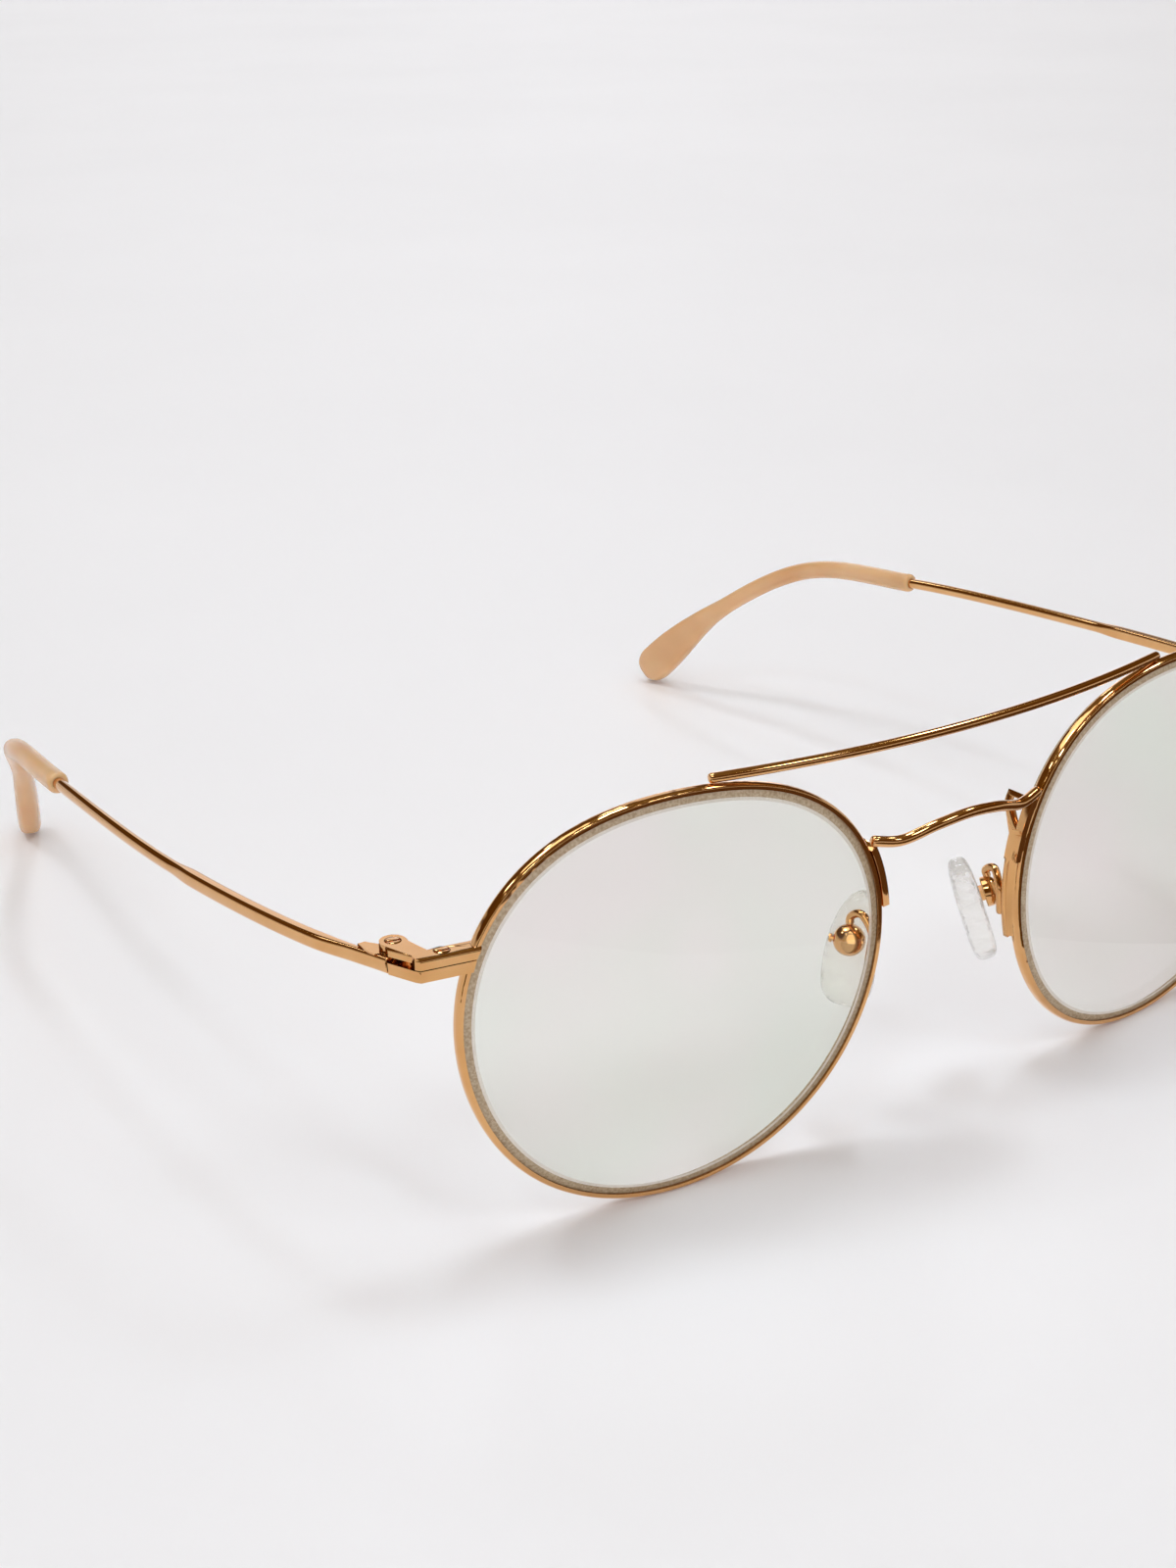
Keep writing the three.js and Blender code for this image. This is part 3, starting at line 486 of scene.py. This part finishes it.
# %% [markdown]
# The brow bar lies on both rims and bows forwards between them. It is one plain wire, so its line is a
# parabola between the two places where it is brazed.

# %% Brow bar
BAR_DIAMETER, BAR_BOW, BAR_ANGLE = 1.1, 3.9, math.radians(82)
BAR_BACK, BAR_POINTS = 0.2, 30   # share of the rim's depth behind its middle, and points in each half

bar_end = LENS_FRAME @ on_outline(BAR_ANGLE, RIM + BAR_DIAMETER / 2 + SEAT, DEPTH * BAR_BACK)
bar_line = [Vector((bar_end.x * t, bar_end.y - BAR_BOW * (1 - t * t), bar_end.z))
            for t in (i / BAR_POINTS - 1 for i in range(2 * BAR_POINTS + 1))]
bar_length = stations(bar_line)[-1]
bar = carried(bar_line, wire_rings(bar_length, BAR_DIAMETER / 2, step=1.2))
finish(bar, "brow_bar", "front", [plating])
print("brow bar", round(bar_length, 1), "mm long")

# %% [markdown]
# The bridge below it starts on each bracket, dips, and arches over the nose. Half of its line is written
# down, and the other half mirrors it.

# %% Bridge
BRIDGE_DIAMETER, BRIDGE_BOW, BRIDGE_RISE, BRIDGE_DIP = 1.25, 2.0, 1.05, 0.5
BRIDGE_OUT, BRIDGE_AHEAD, BRIDGE_OVER = 0.4, 0.5, 0.39   # where its end lies on the bracket
BRACKET_TOP = math.radians(25.5)
# Between end and middle: shares of the half width and of the bow, and the height.
BRIDGE_SHAPE = ((0.72, 0.4, -BRIDGE_DIP), (0.36, 0.85, BRIDGE_RISE * 0.55))

lift = BRIDGE_DIAMETER / 2 + SEAT + BRIDGE_OVER
bridge_end = LENS_FRAME @ (on_outline(BRACKET_TOP, RIM + BRIDGE_DIAMETER * BRIDGE_OUT, -BRIDGE_AHEAD)
                           + Vector((math.sin(BRACKET_TOP), 0, math.cos(BRACKET_TOP))) * lift)
half_bridge = [bridge_end] + [
    Vector((bridge_end.x * out, bridge_end.y - BRIDGE_BOW * bow, bridge_end.z + rise))
    for out, bow, rise in BRIDGE_SHAPE]
bridge_top = Vector((0, bridge_end.y - BRIDGE_BOW, bridge_end.z + BRIDGE_RISE))
far_half = [Vector((-p.x, p.y, p.z)) for p in half_bridge]
bridge_line = curve_through(far_half + [bridge_top] + half_bridge[::-1])
bridge_length = stations(bridge_line)[-1]
bridge = carried(bridge_line, wire_rings(bridge_length, BRIDGE_DIAMETER / 2))
finish(bridge, "bridge", "front", [plating])
print("bridge wire", round(bridge_length, 1), "mm long")

# %% [markdown]
# Temple and tip share one line. It starts just ahead of the hinge, bows out round the head, bends down
# behind the ear and turns in a little at its end. Seven points are enough for that.

# %% The temple's line
PIN = Vector((65.176, 7.240, EYE_HEIGHT))               # the hinge's axis, level with the lens centre
BAR_LEVEL, FOOT_LEVEL, FALL = 9.7, -23.068, 0.079       # heights of the two ends, and the slope of the bar
BESIDE, AHEAD, BOW, BOW_AT = 1.25, 1.5, 6.2, 40         # front end and widest place, from the axis
BEND_AT, BEND_DROP, REACH, TOE_IN = 99, 9.3, 128, 9.2   # ear bend and far end, from the axis

bend_level = BAR_LEVEL - BEND_DROP
temple_line = curve_through([PIN + Vector(p) for p in (
    (BESIDE, -AHEAD, BAR_LEVEL),
    (BESIDE + (BOW - BESIDE) * 0.6, BOW_AT * 0.28, BAR_LEVEL - FALL * BOW_AT * 0.28),
    (BOW, BOW_AT, BAR_LEVEL - FALL * BOW_AT),
    (BOW * 0.75, BEND_AT * 0.77, BAR_LEVEL - FALL * BEND_AT * 0.77),
    (BOW * 0.3, BEND_AT, bend_level),
    (-TOE_IN * 0.45, (BEND_AT + REACH) / 2 + 1, bend_level + (FOOT_LEVEL - bend_level) * 0.42),
    (-TOE_IN, REACH, FOOT_LEVEL))], per_span=40)
TEMPLE_LENGTH = stations(temple_line)[-1]
print("temple", round(TEMPLE_LENGTH, 1), "mm along its line")

# %% [markdown]
# Where the bar swings past the hinge's lower knuckle, a round cutter takes a little off it. A Boolean
# modifier does such a cut well, and its result is read back at once, so that only the finished shape stays.

# %% Helpers for tapers and cuts
def ease(value, low, high):
    share = min(max((value - low) / (high - low), 0), 1)
    return share * share * (3 - 2 * share)


def mix(a, b, share):
    return a + (b - a) * share


def cut_away(bm, tool):
    """What is left of bm after the tool has been through it."""
    blank, cutter = as_object(bm, "blank"), as_object(tool, "cutter")
    cut = blank.modifiers.new("cut", "BOOLEAN")
    cut.operation, cut.object = "DIFFERENCE", cutter
    left_over = bmesh.new()
    left_over.from_object(blank, bpy.context.evaluated_depsgraph_get())
    for scrap in (blank, cutter):
        mesh = scrap.data
        bpy.data.objects.remove(scrap)
        bpy.data.meshes.remove(mesh)
    return left_over


# %% [markdown]
# The temple is a flat bar, thin beside the hinge and thicker behind it. It then tapers into round wire and
# runs on inside its tip. Rings stand closer together near the hinge, where the shape changes most.

# %% Temples
BAR_HIGH, HINGE_THICK, BAR_THICK, BAR_ROUND = 1.7, 1.1, 1.65, 0.6
SWELL_FROM, SWELL = 5, 6           # where the bar starts to thicken, and over what length
BAR_LENGTH, TAPER, WIRE = 36, 5, 1.5
END_CHAMFER, TIP_CLOSED = 0.12, 12   # the wire stops this far before the end of its tip
TEMPLE_RINGS, CROWDING = 180, 1.6
KNUCKLE, KNUCKLE_FLOOR, KNUCKLE_TOP = 1.48, 7.85, 9.743   # the cutter


def make_temple():
    rings = [(0, HINGE_THICK / 2 - END_CHAMFER, BAR_HIGH / 2 - END_CHAMFER, BAR_ROUND)]
    run = TEMPLE_LENGTH - TIP_CLOSED - END_CHAMFER
    for i in range(TEMPLE_RINGS + 1):
        distance = END_CHAMFER + run * (i / TEMPLE_RINGS) ** CROWDING
        thick = mix(HINGE_THICK, BAR_THICK, ease(distance, SWELL_FROM, SWELL_FROM + SWELL))
        taper = ease(distance, BAR_LENGTH, BAR_LENGTH + TAPER)
        rings.append((distance, mix(thick, WIRE, taper) / 2, mix(BAR_HIGH, WIRE, taper) / 2,
                      mix(BAR_ROUND, 1, taper)))
    knuckle = bmesh.new()
    bmesh.ops.create_cone(knuckle, cap_ends=True, segments=48, radius1=KNUCKLE, radius2=KNUCKLE,
                          depth=KNUCKLE_TOP - KNUCKLE_FLOOR)
    middle = PIN + Vector((0, 0, (KNUCKLE_TOP + KNUCKLE_FLOOR) / 2))
    bmesh.ops.translate(knuckle, vec=middle, verts=knuckle.verts)
    return cut_away(carried(temple_line, rings, sides=64), knuckle)


both_sides(make_temple, "temple", "temple_arm", [plating], sharp=60, flat=True)

# %% [markdown]
# The tip is a sleeve pushed over the wire. Its mouth turns in to the wire, it follows the bend behind the
# ear, and it flares into a paddle whose end is rounded both ways.

# %% Tips
TIP_LENGTH, MOUTH, PADDLE, PADDLE_THICK = 62.5, 2.7, 6.0, 3.3
BORE_PLAY, BORE_DEPTH, BORE_EDGE, LIP_STEPS = 0.02, 3, 0.05, 6
FLARE_FROM, FLARE_TO = 0.62, 0.93             # shares of the tip's length
SLEEVE_ROUND, PADDLE_ROUND = 0.9, 0.62        # 1 is round, less is squarer
TIP_ROUND, EDGE_ROUND, LEAST = 3.2, 1.5, 0.02
TIP_RINGS, END_CROWDING = 80, 1.8


def end_share(distance, run):
    """Share of the full size that is left in the rounded last run of the tip."""
    into = max(0, distance - TIP_LENGTH + run) / run
    return math.sqrt(max(LEAST, 1 - into ** 2))


def make_tip():
    start = TEMPLE_LENGTH - TIP_LENGTH
    bore = WIRE / 2 + BORE_PLAY
    lip = MOUTH / 2 - bore
    rings = [(start + BORE_DEPTH, bore, bore, 1), (start + BORE_EDGE, bore, bore, 1)]
    for i in range(1, LIP_STEPS):
        angle = math.pi / 2 * i / LIP_STEPS
        size = bore + lip * math.sin(angle)
        rings.append((start + lip * (1 - math.cos(angle)), size, size, 1))
    for i in range(TIP_RINGS + 1):
        distance = lip + (TIP_LENGTH - lip) * (1 - (1 - i / TIP_RINGS) ** END_CROWDING)
        flare = ease(distance / TIP_LENGTH, FLARE_FROM, FLARE_TO)
        rings.append((start + distance, mix(MOUTH, PADDLE_THICK, flare) / 2 * end_share(distance, EDGE_ROUND),
                      mix(MOUTH, PADDLE, flare) / 2 * end_share(distance, TIP_ROUND),
                      mix(SLEEVE_ROUND, PADDLE_ROUND, flare)))
    return carried(temple_line, rings, sides=40)


both_sides(make_tip, "temple_tip", "temple_arm", [acetate], sharp=70)

# %% [markdown]
# The pad arm is a hook of thin wire. It stands on the bracket behind the rim, loops over and comes down on a
# small round box. The pad hangs in that box on a screw, so it can rock to suit the nose.

# %% Pad arms
ARM_DIAMETER, ARM_FOOT, ARM_LOOP, ARM_GAP = 0.95, 3.4, 1.8, 0.1
STRAP = 0.65   # thickness of the bracket's strap behind the rim
BOX_DIAMETER, BOX_DEPTH, BOX_SEAT = 3.6, 2.0, 0.1
PIVOT_OUT, PIVOT_BACK, PIVOT_DROP = 1.5, 4.4, 1.6
LEAN, SPLAY = math.radians(19), math.radians(40)
PIVOT = Vector((-(on_outline(0, RIM).length - PIVOT_OUT), PIVOT_BACK, -PIVOT_DROP))
PAD_TURN = Matrix.Rotation(math.pi / 2 - SPLAY, 4, "Z") @ Matrix.Rotation(-LEAN, 4, "X")
PAD_FRAME = EYE_FRAME @ Matrix.Translation(PIVOT) @ PAD_TURN


def make_arm():
    behind = DEPTH / 2 + STRAP + ARM_DIAMETER / 2 + ARM_GAP
    tilt = Matrix.Rotation(TILT, 4, "X")
    rise = PAD_TURN @ Vector((0, 0, 1))
    landing = PIVOT + rise * (BOX_DIAMETER / 2 - BOX_SEAT)
    low = -math.asin(ARM_FOOT / RIM)
    foot, shin, knee = (tilt @ on_outline(a, RIM, behind) for a in (low, low / 2, 0))
    knee.y += ARM_DIAMETER / 6
    crest = knee.lerp(landing, 0.5)
    crest.z = ARM_LOOP
    bends = [foot, shin, knee, crest, landing + rise * ARM_DIAMETER, landing]
    line = [EYE_FRAME @ p for p in curve_through(bends)]
    rings = wire_rings(stations(line)[-1], ARM_DIAMETER / 2, step=0.25)
    return carried(line, rings, across=Vector((1, 0, 0)))


both_sides(make_arm, "pad_arm", "front", [plating])

# %% [markdown]
# The box is a turned cup with a domed back. Its section is spun like that of the lens. Small chamfers break
# both edges of its mouth, and its floor falls a little towards the middle.

# %% Pad boxes
BOX_WALL, DOME, DOME_STEPS = 0.45, 0.75, 10
CHAMFER_WIDE, CHAMFER_DEEP, FLOOR_FALL = 0.1, 0.12, 0.1


def make_box():
    outer, inner, half = BOX_DIAMETER / 2, BOX_DIAMETER / 2 - BOX_WALL, BOX_DEPTH / 2
    turns = [math.pi / 2 * i / DOME_STEPS for i in range(DOME_STEPS + 1)]
    dome = [(outer * math.sin(a), -half + outer * DOME * (1 - math.cos(a))) for a in turns]
    mouth = [(outer, half - CHAMFER_DEEP), (outer - CHAMFER_WIDE, half), (inner + CHAMFER_WIDE, half),
             (inner, half - CHAMFER_DEEP)]
    bm = turned(dome + mouth + [(inner, FLOOR_FALL), (0, 0.0)], steps=48)
    bmesh.ops.transform(bm, matrix=PAD_FRAME, verts=bm.verts)
    return bm


both_sides(make_box, "pad_box", "front", [plating], sharp=30)

# %% [markdown]
# The pad starts as a ball whose poles face the nose and the box. It is pressed to the outline of a D: nearly
# straight in front, full below, and rounded off above. Powers below 1 press it squarer.

# %% Nose pads
PAD_LENGTH, PAD_WIDTH, PAD_THICK, PAD_OFFSET, PAD_GAP = 13.2, 6.4, 3.0, 1.1, 0.35
PAD_BACK = BOX_DEPTH / 2 + PAD_GAP
WAIST, TOP_LEAN = -0.4, 0.2   # widest place, as a share of the half length, and how far the top leans over
FRONT_POWER, LOW_POWER, TOP_POWER = 0.62, 0.72, 0.95
FACE_POWER, EDGE_POWER = 0.5, 0.55


def make_pad():
    bm = bmesh.new()
    bmesh.ops.create_uvsphere(bm, u_segments=72, v_segments=40, radius=1.0)
    for vert in bm.verts:
        across, along, thick = vert.co
        plan = math.hypot(across, along)
        c, s = (across / plan, along / plan) if plan > 1e-6 else (0.0, 0.0)
        back_power = LOW_POWER if s < 0 else TOP_POWER
        corner = FRONT_POWER if c < 0 else back_power
        c, s = squared(c, corner), squared(s, corner)
        reach = plan ** FACE_POWER
        lean, span = (TOP_LEAN * s * s, 1 - WAIST) if s > 0 else (0, 1 + WAIST)
        x = (c - lean) * reach
        z = (WAIST + span * s) * reach + WAIST * (1 - reach)
        vert.co = Vector((x * PAD_WIDTH / 2, squared(thick, EDGE_POWER) * PAD_THICK / 2, z * PAD_LENGTH / 2))
    centre = Matrix.Translation((0, PAD_BACK + PAD_THICK / 2, -PAD_OFFSET))
    bmesh.ops.transform(bm, matrix=PAD_FRAME @ centre, verts=bm.verts)
    return bm


both_sides(make_pad, "nose_pad", "pad", [silicone], sharp=80)

# %% [markdown]
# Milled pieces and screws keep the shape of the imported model, which is already right. A copy is welded, its
# flat faces are joined up again, and every edge gets a fine bevel, because real edges catch the light. The
# upper block was polished by hand, so the long edges of its top are rounded more, which draws a dark band
# beside the bright flat.

# %% Milled pieces with fine bevels
WELD, FLAT_WITHIN, CRISP = 0.002, math.radians(1), math.radians(28)
CROWN, LONG_EDGE = 0.05, 1.0   # how near the top an edge lies, and how long it is, to be rounded more
# Body, bevel, and rounding of those edges.
MILLED = {"end_piece_upper": ("front", 0.14, 0.42), "end_piece_lower": ("front", 0.14, 0),
          "closing_screw": ("front", 0.05, 0), "hinge_screw": ("front", 0.05, 0),
          "pad_screw": ("front", 0.04, 0), "hinge_leaf": ("temple_arm", 0.08, 0)}


def softened(node, width, top_round=0):
    bm = bmesh.new()
    bm.from_mesh(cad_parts[node].data)
    bmesh.ops.remove_doubles(bm, verts=bm.verts, dist=WELD * MM)
    bmesh.ops.dissolve_limit(bm, angle_limit=FLAT_WITHIN, verts=bm.verts, edges=bm.edges)
    if top_round:
        crown = max(v.co.z for v in bm.verts) - CROWN * MM
        ridges = [e for e in bm.edges
                  if e.calc_length() > LONG_EDGE * MM and all(v.co.z > crown for v in e.verts)]
        bmesh.ops.bevel(bm, geom=ridges, offset=top_round * MM, offset_type="OFFSET", affect="EDGES",
                        segments=5, profile=0.5, material=-1)
        bm.normal_update()
    crisp = [e for e in bm.edges if e.calc_face_angle(0) > CRISP]
    bmesh.ops.bevel(bm, geom=crisp, offset=width * MM, offset_type="OFFSET", affect="EDGES", segments=2,
                    profile=0.5, material=-1, clamp_overlap=True)
    bmesh.ops.transform(bm, matrix=Matrix.Translation(-SHIFT) @ Matrix.Scale(1 / MM, 4), verts=bm.verts)
    return bm


for part, (body, width, top_round) in MILLED.items():
    both_sides(lambda: softened(f"left_{part}", width, top_round), part, body, [plating],
               sharp=35, flat=True)

# %% [markdown]
# The bridge bracket is stamped and brazed to the rim. Its braze is added to it: a fillet of metal that runs
# into the corner between strap and rim, made as a small triangle spun along the rim.

# %% Bridge brackets
BRACKET_BEVEL = 0.12
BRAZE_FROM, BRAZE_TO = math.radians(-13.5), math.radians(16)
BRAZE_IN, BRAZE_OUT, BRAZE_SUNK, BRAZE_TIP = 0.3, 0.34, 0.08, 0.1


def make_bracket():
    bm = softened("left_bridge_bracket", BRACKET_BEVEL)
    braze = bmesh.new()
    behind = DEPTH / 2 + BRAZE_SUNK
    section = [(RIM - BRAZE_IN, behind), (RIM, BRAZE_TIP), (RIM + BRAZE_OUT, behind)]
    braze.faces.new([braze.verts.new((-r, y, 0)) for r, y in section])
    bmesh.ops.rotate(braze, verts=braze.verts, cent=(0, 0, 0), matrix=Matrix.Rotation(BRAZE_FROM, 3, "Y"))
    bmesh.ops.spin(braze, geom=braze.faces[:], cent=(0, 0, 0), axis=(0, 1, 0), dvec=(0, 0, 0),
                   angle=BRAZE_TO - BRAZE_FROM, steps=24)
    shape_to_lens(braze)
    fillet = bpy.data.meshes.new("braze")
    braze.to_mesh(fillet)
    braze.free()
    bm.from_mesh(fillet)
    bpy.data.meshes.remove(fillet)
    return bm


both_sides(make_bracket, "bridge_bracket", "front", [plating], sharp=35)

# %% [markdown]
# Each pad holds a metal core. Only its tongue is seen, between the pad and the box, so the plate inside the
# clear silicone is cut away and a short root is left in the pad.

# %% Pad tongues
TONGUE_BEVEL, TONGUE_CUT, TONGUE_ROOT = 0.06, 0.02, 0.5


def make_tongue():
    bm = softened("left_pad_core", TONGUE_BEVEL)
    inwards = PAD_FRAME.to_3x3() @ Vector((0, 1, 0))
    cut = PAD_FRAME @ Vector((0, PAD_BACK - TONGUE_CUT, 0))
    bmesh.ops.bisect_plane(bm, geom=bm.verts[:] + bm.edges[:] + bm.faces[:], plane_co=cut, plane_no=inwards,
                           clear_outer=True)
    root = bmesh.ops.extrude_edge_only(bm, edges=[e for e in bm.edges if e.is_boundary])["geom"]
    bmesh.ops.translate(bm, vec=inwards * TONGUE_ROOT,
                        verts=[v for v in root if isinstance(v, bmesh.types.BMVert)])
    bmesh.ops.holes_fill(bm, edges=[e for e in bm.edges if e.is_boundary], sides=0)
    return bm


both_sides(make_tongue, "pad_core", "pad", [plating], sharp=35, flat=True)

# %% [markdown]
# The stage is a white table, a plain disc that reaches past the edge of the picture. Its paint is a little
# cool, so that the shadows turn lavender.

# %% Table
TABLE_RADIUS, MOTTLE_MM = 6.0, 150   # the radius is in metres
table_paint, tree, surface, place = new_material("painted_board_matt", {"Roughness": 0.5})
tint(tree, surface, noise(tree, place, MOTTLE_MM, detail=3.0), "#F2F0F4", "#F4F2F6", low=0.35)
bm = bmesh.new()
bmesh.ops.create_circle(bm, cap_ends=True, segments=96, radius=TABLE_RADIUS)
table = as_object(bm, "table", [table_paint])
print("table", 2 * TABLE_RADIUS, "m across")

# %% [markdown]
# Polished metal shows whatever stands around it, so the room matters. It is painted on the world, by
# direction. The lower wall is pale and a dark band lies above it. Three windows brighten what faces them:
# the flat tops of the end pieces, the top of the temple bar, and the upper edges that look along the floor.

# %% Walls and windows
PALE_TO, DARK_FROM = 0.17, 0.24   # heights of the wall, as the sine of the angle above the horizon
PALE_WALL, DARK_WALL, UPPER_WALL = "#D4D4D8", "#553910", "#6E5226"
# Direction, cosines of the angles where the frame and the pane begin, and colour.
WINDOWS = ((Vector((0.47, 0.765, 0.44)), 0.990, 0.995, (0.92, 0.94, 1.0, 1.0)),
           (Vector((0.42, 0.85, 0.31)), 0.985, 0.990, (1.0, 0.98, 1.02, 1.0)),
           (Vector((0.62, 0.78, 0.09)), 0.987, 0.993, (1.6, 1.6, 1.7, 1.0)))
COLOURS = {"data_type": "RGBA"}
SHARE, FIRST, SECOND, MIXED = 0, 6, 7, 2   # sockets of a Mix node that is set to colours

world = bpy.data.worlds.new("studio")
world.use_nodes = True
bpy.context.scene.world = world
tree = world.node_tree
direction = add(tree, "ShaderNodeTexCoord").outputs["Generated"]
height = add(tree, "ShaderNodeSeparateXYZ", links={"Vector": direction}).outputs["Z"]


def along(towards):
    return add(tree, "ShaderNodeVectorMath", {"operation": "DOT_PRODUCT"}, {1: towards},
               {0: direction}).outputs["Value"]


def fade(value, start, stop):
    return add(tree, "ShaderNodeMapRange", links={"Value": value},
               values={"From Min": start, "From Max": stop}).outputs["Result"]


walls = ramp(tree, height, [
    (0.0, PALE_WALL), (PALE_TO, PALE_WALL), (DARK_FROM, DARK_WALL), (1.0, UPPER_WALL)])
for towards, edge, pane, colour in WINDOWS:
    window = fade(along(towards.normalized()), edge, pane)
    walls = add(tree, "ShaderNodeMix", COLOURS, {SECOND: colour},
                {SHARE: window, FIRST: walls}).outputs[MIXED]
print("room with", len(WINDOWS), "windows")

# %% [markdown]
# Rows of lamps under a brown ceiling give the wires their bright lines, and break the rims' reflection into
# glints. Two sine waves that cross make such a grid: dividing by the height turns a direction into a place
# on a flat ceiling.

# %% Ceiling lamps
LAMP_COLOUR, CEILING = (14.2, 15.9, 16.9, 1.0), "#76623F"
LAMP_GRID = ((Vector((0.3, 0.95, 0)), 0.9), (Vector((0.95, -0.3, 0)), 0.6))   # direction and pitch
LAMP_EDGE, LAMP_FULL = 0.62, 0.80          # of the sine wave
CEILING_EDGE, CEILING_FULL = 0.62, 0.70    # heights, as for the walls


def calculate(operation, values=None, links=None):
    return add(tree, "ShaderNodeMath", {"operation": operation}, values, links).outputs["Value"]


rows = []
for across, pitch in LAMP_GRID:
    overhead = calculate("DIVIDE", links={0: along(across), 1: height})
    phase = calculate("MULTIPLY", {1: math.tau / pitch}, {0: overhead})
    rows.append(fade(calculate("SINE", links={0: phase}), LAMP_EDGE, LAMP_FULL))
lamps = calculate("MULTIPLY", links={0: rows[0], 1: rows[1]})
lights = add(tree, "ShaderNodeMix", COLOURS, {FIRST: linear(CEILING), SECOND: LAMP_COLOUR}, {SHARE: lamps})
overhead_share = fade(height, CEILING_EDGE, CEILING_FULL)
studio = add(tree, "ShaderNodeMix", COLOURS, links={
    SHARE: overhead_share, FIRST: walls, SECOND: lights.outputs[MIXED]}).outputs[MIXED]
print("lamps in", len(rows), "crossing rows")

# %% [markdown]
# The metal is meant to see this room, but the picture is not. A Light Path node tells the rays apart: the
# camera, and anything seen through a lens, gets a plain pale backdrop, and reflections get the room.

# %% Backdrop
BACKDROP = "#EBE9EC"
rays = add(tree, "ShaderNodeLightPath").outputs
direct = calculate("MAXIMUM", links={0: rays["Is Camera Ray"], 1: rays["Is Transmission Ray"]})
backdrop = add(tree, "ShaderNodeMix", COLOURS, {SECOND: linear(BACKDROP)}, {SHARE: direct, FIRST: studio})
tree.links.new(backdrop.outputs[MIXED], tree.nodes["Background"].inputs["Color"])
tree.nodes["Background"].inputs["Strength"].default_value = 1.0
print("backdrop", BACKDROP)

# %% [markdown]
# A soft sun from behind, on the left, gives the faint shadows. A fill from the camera's side keeps matt
# pieces at their own colour, and metal does not see it. The Standard view shows colours as they are set.

# %% Sun and fill
TO_SUN = Vector((-0.23, 0.33, 0.91))


def make_sun(name, towards, strength, spread):
    data = bpy.data.lights.new(name, "SUN")
    data.energy, data.angle = strength, math.radians(spread)
    lamp = bpy.data.objects.new(name, data)
    lamp.rotation_euler = (-towards).to_track_quat("-Z", "Y").to_euler()
    bpy.context.scene.collection.objects.link(lamp)
    return lamp


make_sun("sun", TO_SUN, strength=0.6, spread=36)
fill = make_sun("fill", back, strength=1.0, spread=60)
fill.visible_glossy = False
fill.data.use_shadow = False
bpy.context.scene.view_settings.view_transform = "Standard"
print("made sun and fill")

# %% [markdown]
# A dark card on the table, as product photographers use, lies just outside the picture and shows in
# reflections alone: it darkens the fronts of the wires.

# %% Dark card
CARD = ((-0.19, -0.09), (-0.05, -0.165), (0.115, -0.01), (0.9, -0.2), (0.3, -0.9), (-0.6, -0.6))   # metres
CARD_THICK, FIBRE_MM = 0.5, 1.25   # fibres are drawn coarser than real ones
card_paint, tree, surface, place = new_material("card_black_matt", {
    "Roughness": 0.8, "Specular IOR Level": 0.1})
tint(tree, surface, noise(tree, place, FIBRE_MM), "#52381D", "#604426")
bm = bmesh.new()
bm.faces.new([bm.verts.new((x, y, CARD_THICK * MM)) for x, y in CARD])
card = as_object(bm, "dark_card", [card_paint])
for ray in ("camera", "diffuse", "transmission", "shadow"):
    setattr(card, f"visible_{ray}", False)
print("card with", len(CARD), "corners")
